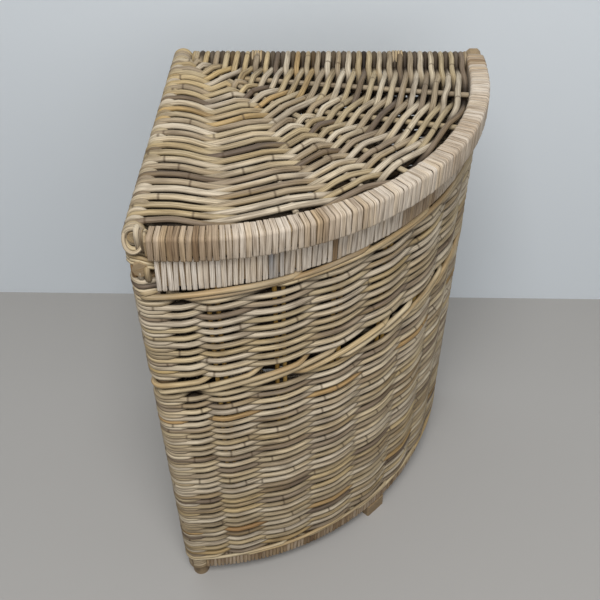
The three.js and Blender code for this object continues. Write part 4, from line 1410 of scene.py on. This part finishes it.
@dataclass
class Underframe:
    """The corner posts with their bound feet, the poles, the base of rods and the hinge."""

    rods: RodTree
    base_pitch: float = 7.2 * MM
    base_radius: float = 3.6 * MM
    base_corner: tuple[float, float] = (-197.2 * MM, 195.2 * MM)
    base_reach: float = 359 * MM
    foot_wraps: tuple[float, float] = (24.5 * MM, 58 * MM)
    band_rod: float = 1.6 * MM
    posts: tuple[str, ...] = ("post_front_left", "post_back_left", "post_back_right")

    def build(self) -> None:
        """Builds the posts and poles in place of the frame's straight ones, their wraps and the rest."""
        for name, nodes, tint, body in (
            ("corner_posts", self.posts, 0.45, Body.BASKET),
            ("bottom_poles", ("bottom_pole_left", "bottom_pole_back"), 0.4, Body.BASKET),
            ("lid_back_pole", ("lid_pole_back",), 0.8, Body.LID),
        ):
            paths = Paths()
            for i, node in enumerate(nodes):
                start, end, radius = solid_line(node)
                paths.add(straight_path(start, end), tint + 0.06 * i, radius / MM)
            self.rods.make(name, paths, BARE_POLE, body, nodes, radius=1 * MM, sides=24)
        self._foot_wraps()
        self._base()
        self._hinge()

    def _foot_wraps(self) -> None:
        """Rods wound round each post between the floor and the woven wall."""
        rng, paths = random.Random(61), Paths()
        for node in self.posts:
            start, end, radius = solid_line(node)
            side = radius + 2.0 * MM
            for i in range(7):
                level = self.foot_wraps[0] + (self.foot_wraps[1] - self.foot_wraps[0]) * i / 6
                lean = Vector((0, 0, rng.uniform(-0.8, 0.8) * MM))
                middle = start.lerp(end, level / end.z)
                turn = ring(middle, Vector((0, side, 0)) + lean, Vector((side, 0, 0)) - lean)
                paths.add(turn,rng.choice((0.1, 0.2, 0.3, 0.88)), rng.uniform(0.9, 1.1))
        self.rods.make("foot_wraps", paths, KUBU_ROD, Body.BASKET, radius=2.5 * MM)

    def _base(self) -> None:
        """Rods side by side across the base's battens."""
        rng, paths = random.Random(62), Paths()
        low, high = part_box("base_weave")
        for i in range(round((high.y - low.y - 2 * self.base_radius) / self.base_pitch) + 1):
            y = low.y + self.base_radius + self.base_pitch * i
            half = math.sqrt(max(0.0, self.base_reach ** 2 - (y - self.base_corner[1]) ** 2))
            end = min(high.x, self.base_corner[0] + half)
            sway = Sway(rng, 0.6 * MM)
            lift = 0.9 * MM * (-1) ** i
            steps = max(3, round((end - low.x) / (12 * MM)))
            path = []
            for x in (low.x + (end - low.x) * k / steps for k in range(steps + 1)):
                wave = lift * math.cos(math.pi * (x + 78 * MM) / (120 * MM))
                path.append(Vector((x, y + sway.at(x), (low.z + high.z) / 2 + wave)))
            # Painted shade: the base's rods get a quarter of the full painted shade
            paths.add(path, rng.betavariate(2, 2.4), rng.uniform(0.92, 1.04), 0.25)
        self.rods.make("base_rods", paths, KUBU_ROD, Body.BASKET, ["base_weave"], radius=self.base_radius)

    def _hinge(self) -> None:
        """The hinge rod and, round it, bands of thin cane that hold it to the two back rails."""
        start, end, radius = solid_line("hinge_rod")
        rod = Paths()
        rod.add(straight_path(start, end, 30))
        self.rods.make(
            "hinge_rod_cane", rod, PEELED_CANE, Body.BASKET, ["hinge_rod"], radius=radius, sides=12,
        )
        for body, word, rail, sunk in (
            (Body.BASKET, "body", "rim_wraps_back", 1 * MM), (Body.LID, "lid", "lid_wraps_back", 2.3 * MM),
        ):
            low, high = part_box(rail)
            turn = self._band((low + high) / 2, (high.z - low.z) / 2 - sunk, start, radius + 0.2 * MM)
            for side in ("left", "right"):
                node = f"hinge_band_{word}_{side}"
                low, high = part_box(node)
                paths = Paths()
                for k in range(4):
                    x = low.x + (high.x - low.x) * (k + 0.5) / 4
                    paths.add([Vector((x, y, z)) for y, z in turn], 0.1 + 0.15 * k)
                name = f"hinge_cane_{word}_{side}"
                self.rods.make(name, paths, WALE_CANE, body, [node], radius=self.band_rod)

    def _band(self, rail: Vector, rail_reach: float, pin: Vector, pin_reach: float) -> Keys:
        """Closed turn drawn tight round the rail and the hinge rod.

        Args:
            rail: The rail's middle.
            rail_reach: The rail's radius.
            pin: The hinge rod's middle.
            pin_reach: The hinge rod's radius.

        Returns:
            The y and z of its points.
        """
        apart = math.hypot(pin.y - rail.y, pin.z - rail.z)
        towards = math.atan2(pin.z - rail.z, pin.y - rail.y)
        spread = math.acos((rail_reach - pin_reach) / apart)
        points = []
        for centre, reach, first, last, steps in (
            (rail, rail_reach + self.band_rod, towards + spread, towards + 2 * math.pi - spread, 20),
            (pin, pin_reach + self.band_rod, towards - spread, towards + spread, 8),
        ):
            for angle in (first + (last - first) * i / steps for i in range(steps + 1)):
                points.append((centre.y + reach * math.cos(angle), centre.z + reach * math.sin(angle)))
        return points + points[:2]


@dataclass
class Studio:
    """Plain pale floor and backdrop, soft lamps and the camera at the photograph's angle."""

    lens_px: float = 875.0
    picture_px: float = 600.0
    sensor: float = 36.0
    place: tuple[float, float, float] = (0.0107, -0.8557, 1.1764)
    down: float = 0.7454
    turn: float = -0.0501
    roll: float = -0.0218
    wall_place: float = 0.43
    reach: float = 6.0

    def build(self) -> None:
        """Builds the stage, the lamps and the camera."""
        bpy.context.scene.view_settings.view_transform = "Standard"
        self._camera()
        self._stage()
        self._lamps()

    def _camera(self) -> None:
        """Camera fitted to the photograph."""
        data = bpy.data.cameras.new("camera")
        data.sensor_fit = "HORIZONTAL"
        data.sensor_width = self.sensor
        data.lens = self.lens_px * self.sensor / self.picture_px
        level = math.cos(self.down)
        ahead = Vector((math.sin(self.turn) * level, math.cos(self.turn) * level, -math.sin(self.down)))
        right = Vector((math.cos(self.turn), -math.sin(self.turn), 0.0))
        up = right.cross(ahead)
        cos, sin = math.cos(self.roll), math.sin(self.roll)
        turned = Matrix((cos * right + sin * up, cos * up - sin * right, -ahead)).transposed().to_4x4()
        camera = place_object("camera", data)
        camera.matrix_world = Matrix.Translation(Vector(self.place)) @ turned
        bpy.context.scene.camera = camera

    def _stage(self) -> None:
        """A wide plain floor and an upright backdrop, clear from behind so that views there stay open."""
        half, wall = self.reach, self.wall_place
        floor = [(-half, -half, 0.0), (half, -half, 0.0), (half, half, 0.0), (-half, half, 0.0)]
        backdrop = [(-half, wall, 0.0), (half, wall, 0.0), (half, wall, half), (-half, wall, half)]
        # Matt paint, even and without shine: warm grey underfoot, cooler and lighter on the wall
        for name, corners, colour in (("floor", floor, "#aca9a5"), ("backdrop", backdrop, "#dde3e8")):
            mesh = bpy.data.meshes.new(name)
            mesh.from_pydata(corners, [], [(0, 1, 2, 3)])
            material = bpy.data.materials.new(f"pale_{name}")
            material.use_nodes = True
            tree = material.node_tree
            shader = tree.nodes["Principled BSDF"]
            shader.inputs["Base Color"].default_value = linear(colour)
            shader.inputs["Roughness"].default_value = 0.9
            behind = add_node(tree, "ShaderNodeNewGeometry").outputs["Backfacing"]
            clear = add_node(tree, "ShaderNodeBsdfTransparent")
            mix = add_node(tree, "ShaderNodeMixShader", {0: behind, 1: shader, 2: clear})
            tree.links.new(mix.outputs[0], tree.nodes["Material Output"].inputs["Surface"])
            mesh.materials.append(material)
            place_object(name, mesh)

    @staticmethod
    def _lamps() -> None:
        """A pale world, a soft lamp overhead and a weaker one in front."""
        world = bpy.data.worlds.new("studio")
        bpy.context.scene.world = world
        world.use_nodes = True
        background = world.node_tree.nodes["Background"]
        background.inputs["Color"].default_value = linear("#e2e6ea")
        seen = add_node(world.node_tree, "ShaderNodeLightPath").outputs["Is Camera Ray"]
        strength = add_node(
            world.node_tree, "ShaderNodeMapRange", {"Value": seen, "To Min": 0.26, "To Max": 0.62},
        )
        world.node_tree.links.new(strength.outputs[0], background.inputs["Strength"])
        for name, place, size, power in (
            ("key_lamp", (-0.05, -1.2, 2.45), 1.0, 41.0), ("fill_lamp", (0.5, -1.8, 1.6), 1.3, 12.0),
        ):
            data = bpy.data.lights.new(name, "AREA")
            data.size = size
            data.energy = power
            lamp = place_object(name, data)
            lamp.location = place
            aim = Vector((0.0, 0.0, 0.35)) - Vector(place)
            lamp.rotation_euler = aim.to_track_quat("-Z", "Y").to_euler()


def dress_frame() -> None:
    """Gives the frame's own solids their material, with the grain along their longest side."""
    finishes = {Slot.ROD: KUBU_ROD, Slot.STRIP: SPLIT_STRIP, Slot.CANE: WALE_CANE, Slot.POLE: BARE_POLE}
    slots = {entry["node"]: entry["material_slot"] for entry in frame["record"]["subparts"]}
    for name, node in frame["nodes"].items():
        low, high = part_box(name)
        axis = max(range(3), key=lambda i: high[i] - low[i])
        node.data.materials.clear()
        node.data.materials.append(finishes[Slot(slots[name])].material(axis))


def main() -> None:
    """Builds the sub-assemblies in order."""
    logging.basicConfig(level=logging.INFO, format="%(name)s: %(message)s")
    rods, wraps, plan = RodTree(), WrapTree(), BodyPlan()
    Studio().build()
    dress_frame()
    WovenWalls(rods, plan).build()
    Hoops(wraps, plan).build()
    Rails(rods, wraps).build()
    LidPanel(rods).build()
    Underframe(rods).build()


if __name__ == "__main__":
    main()
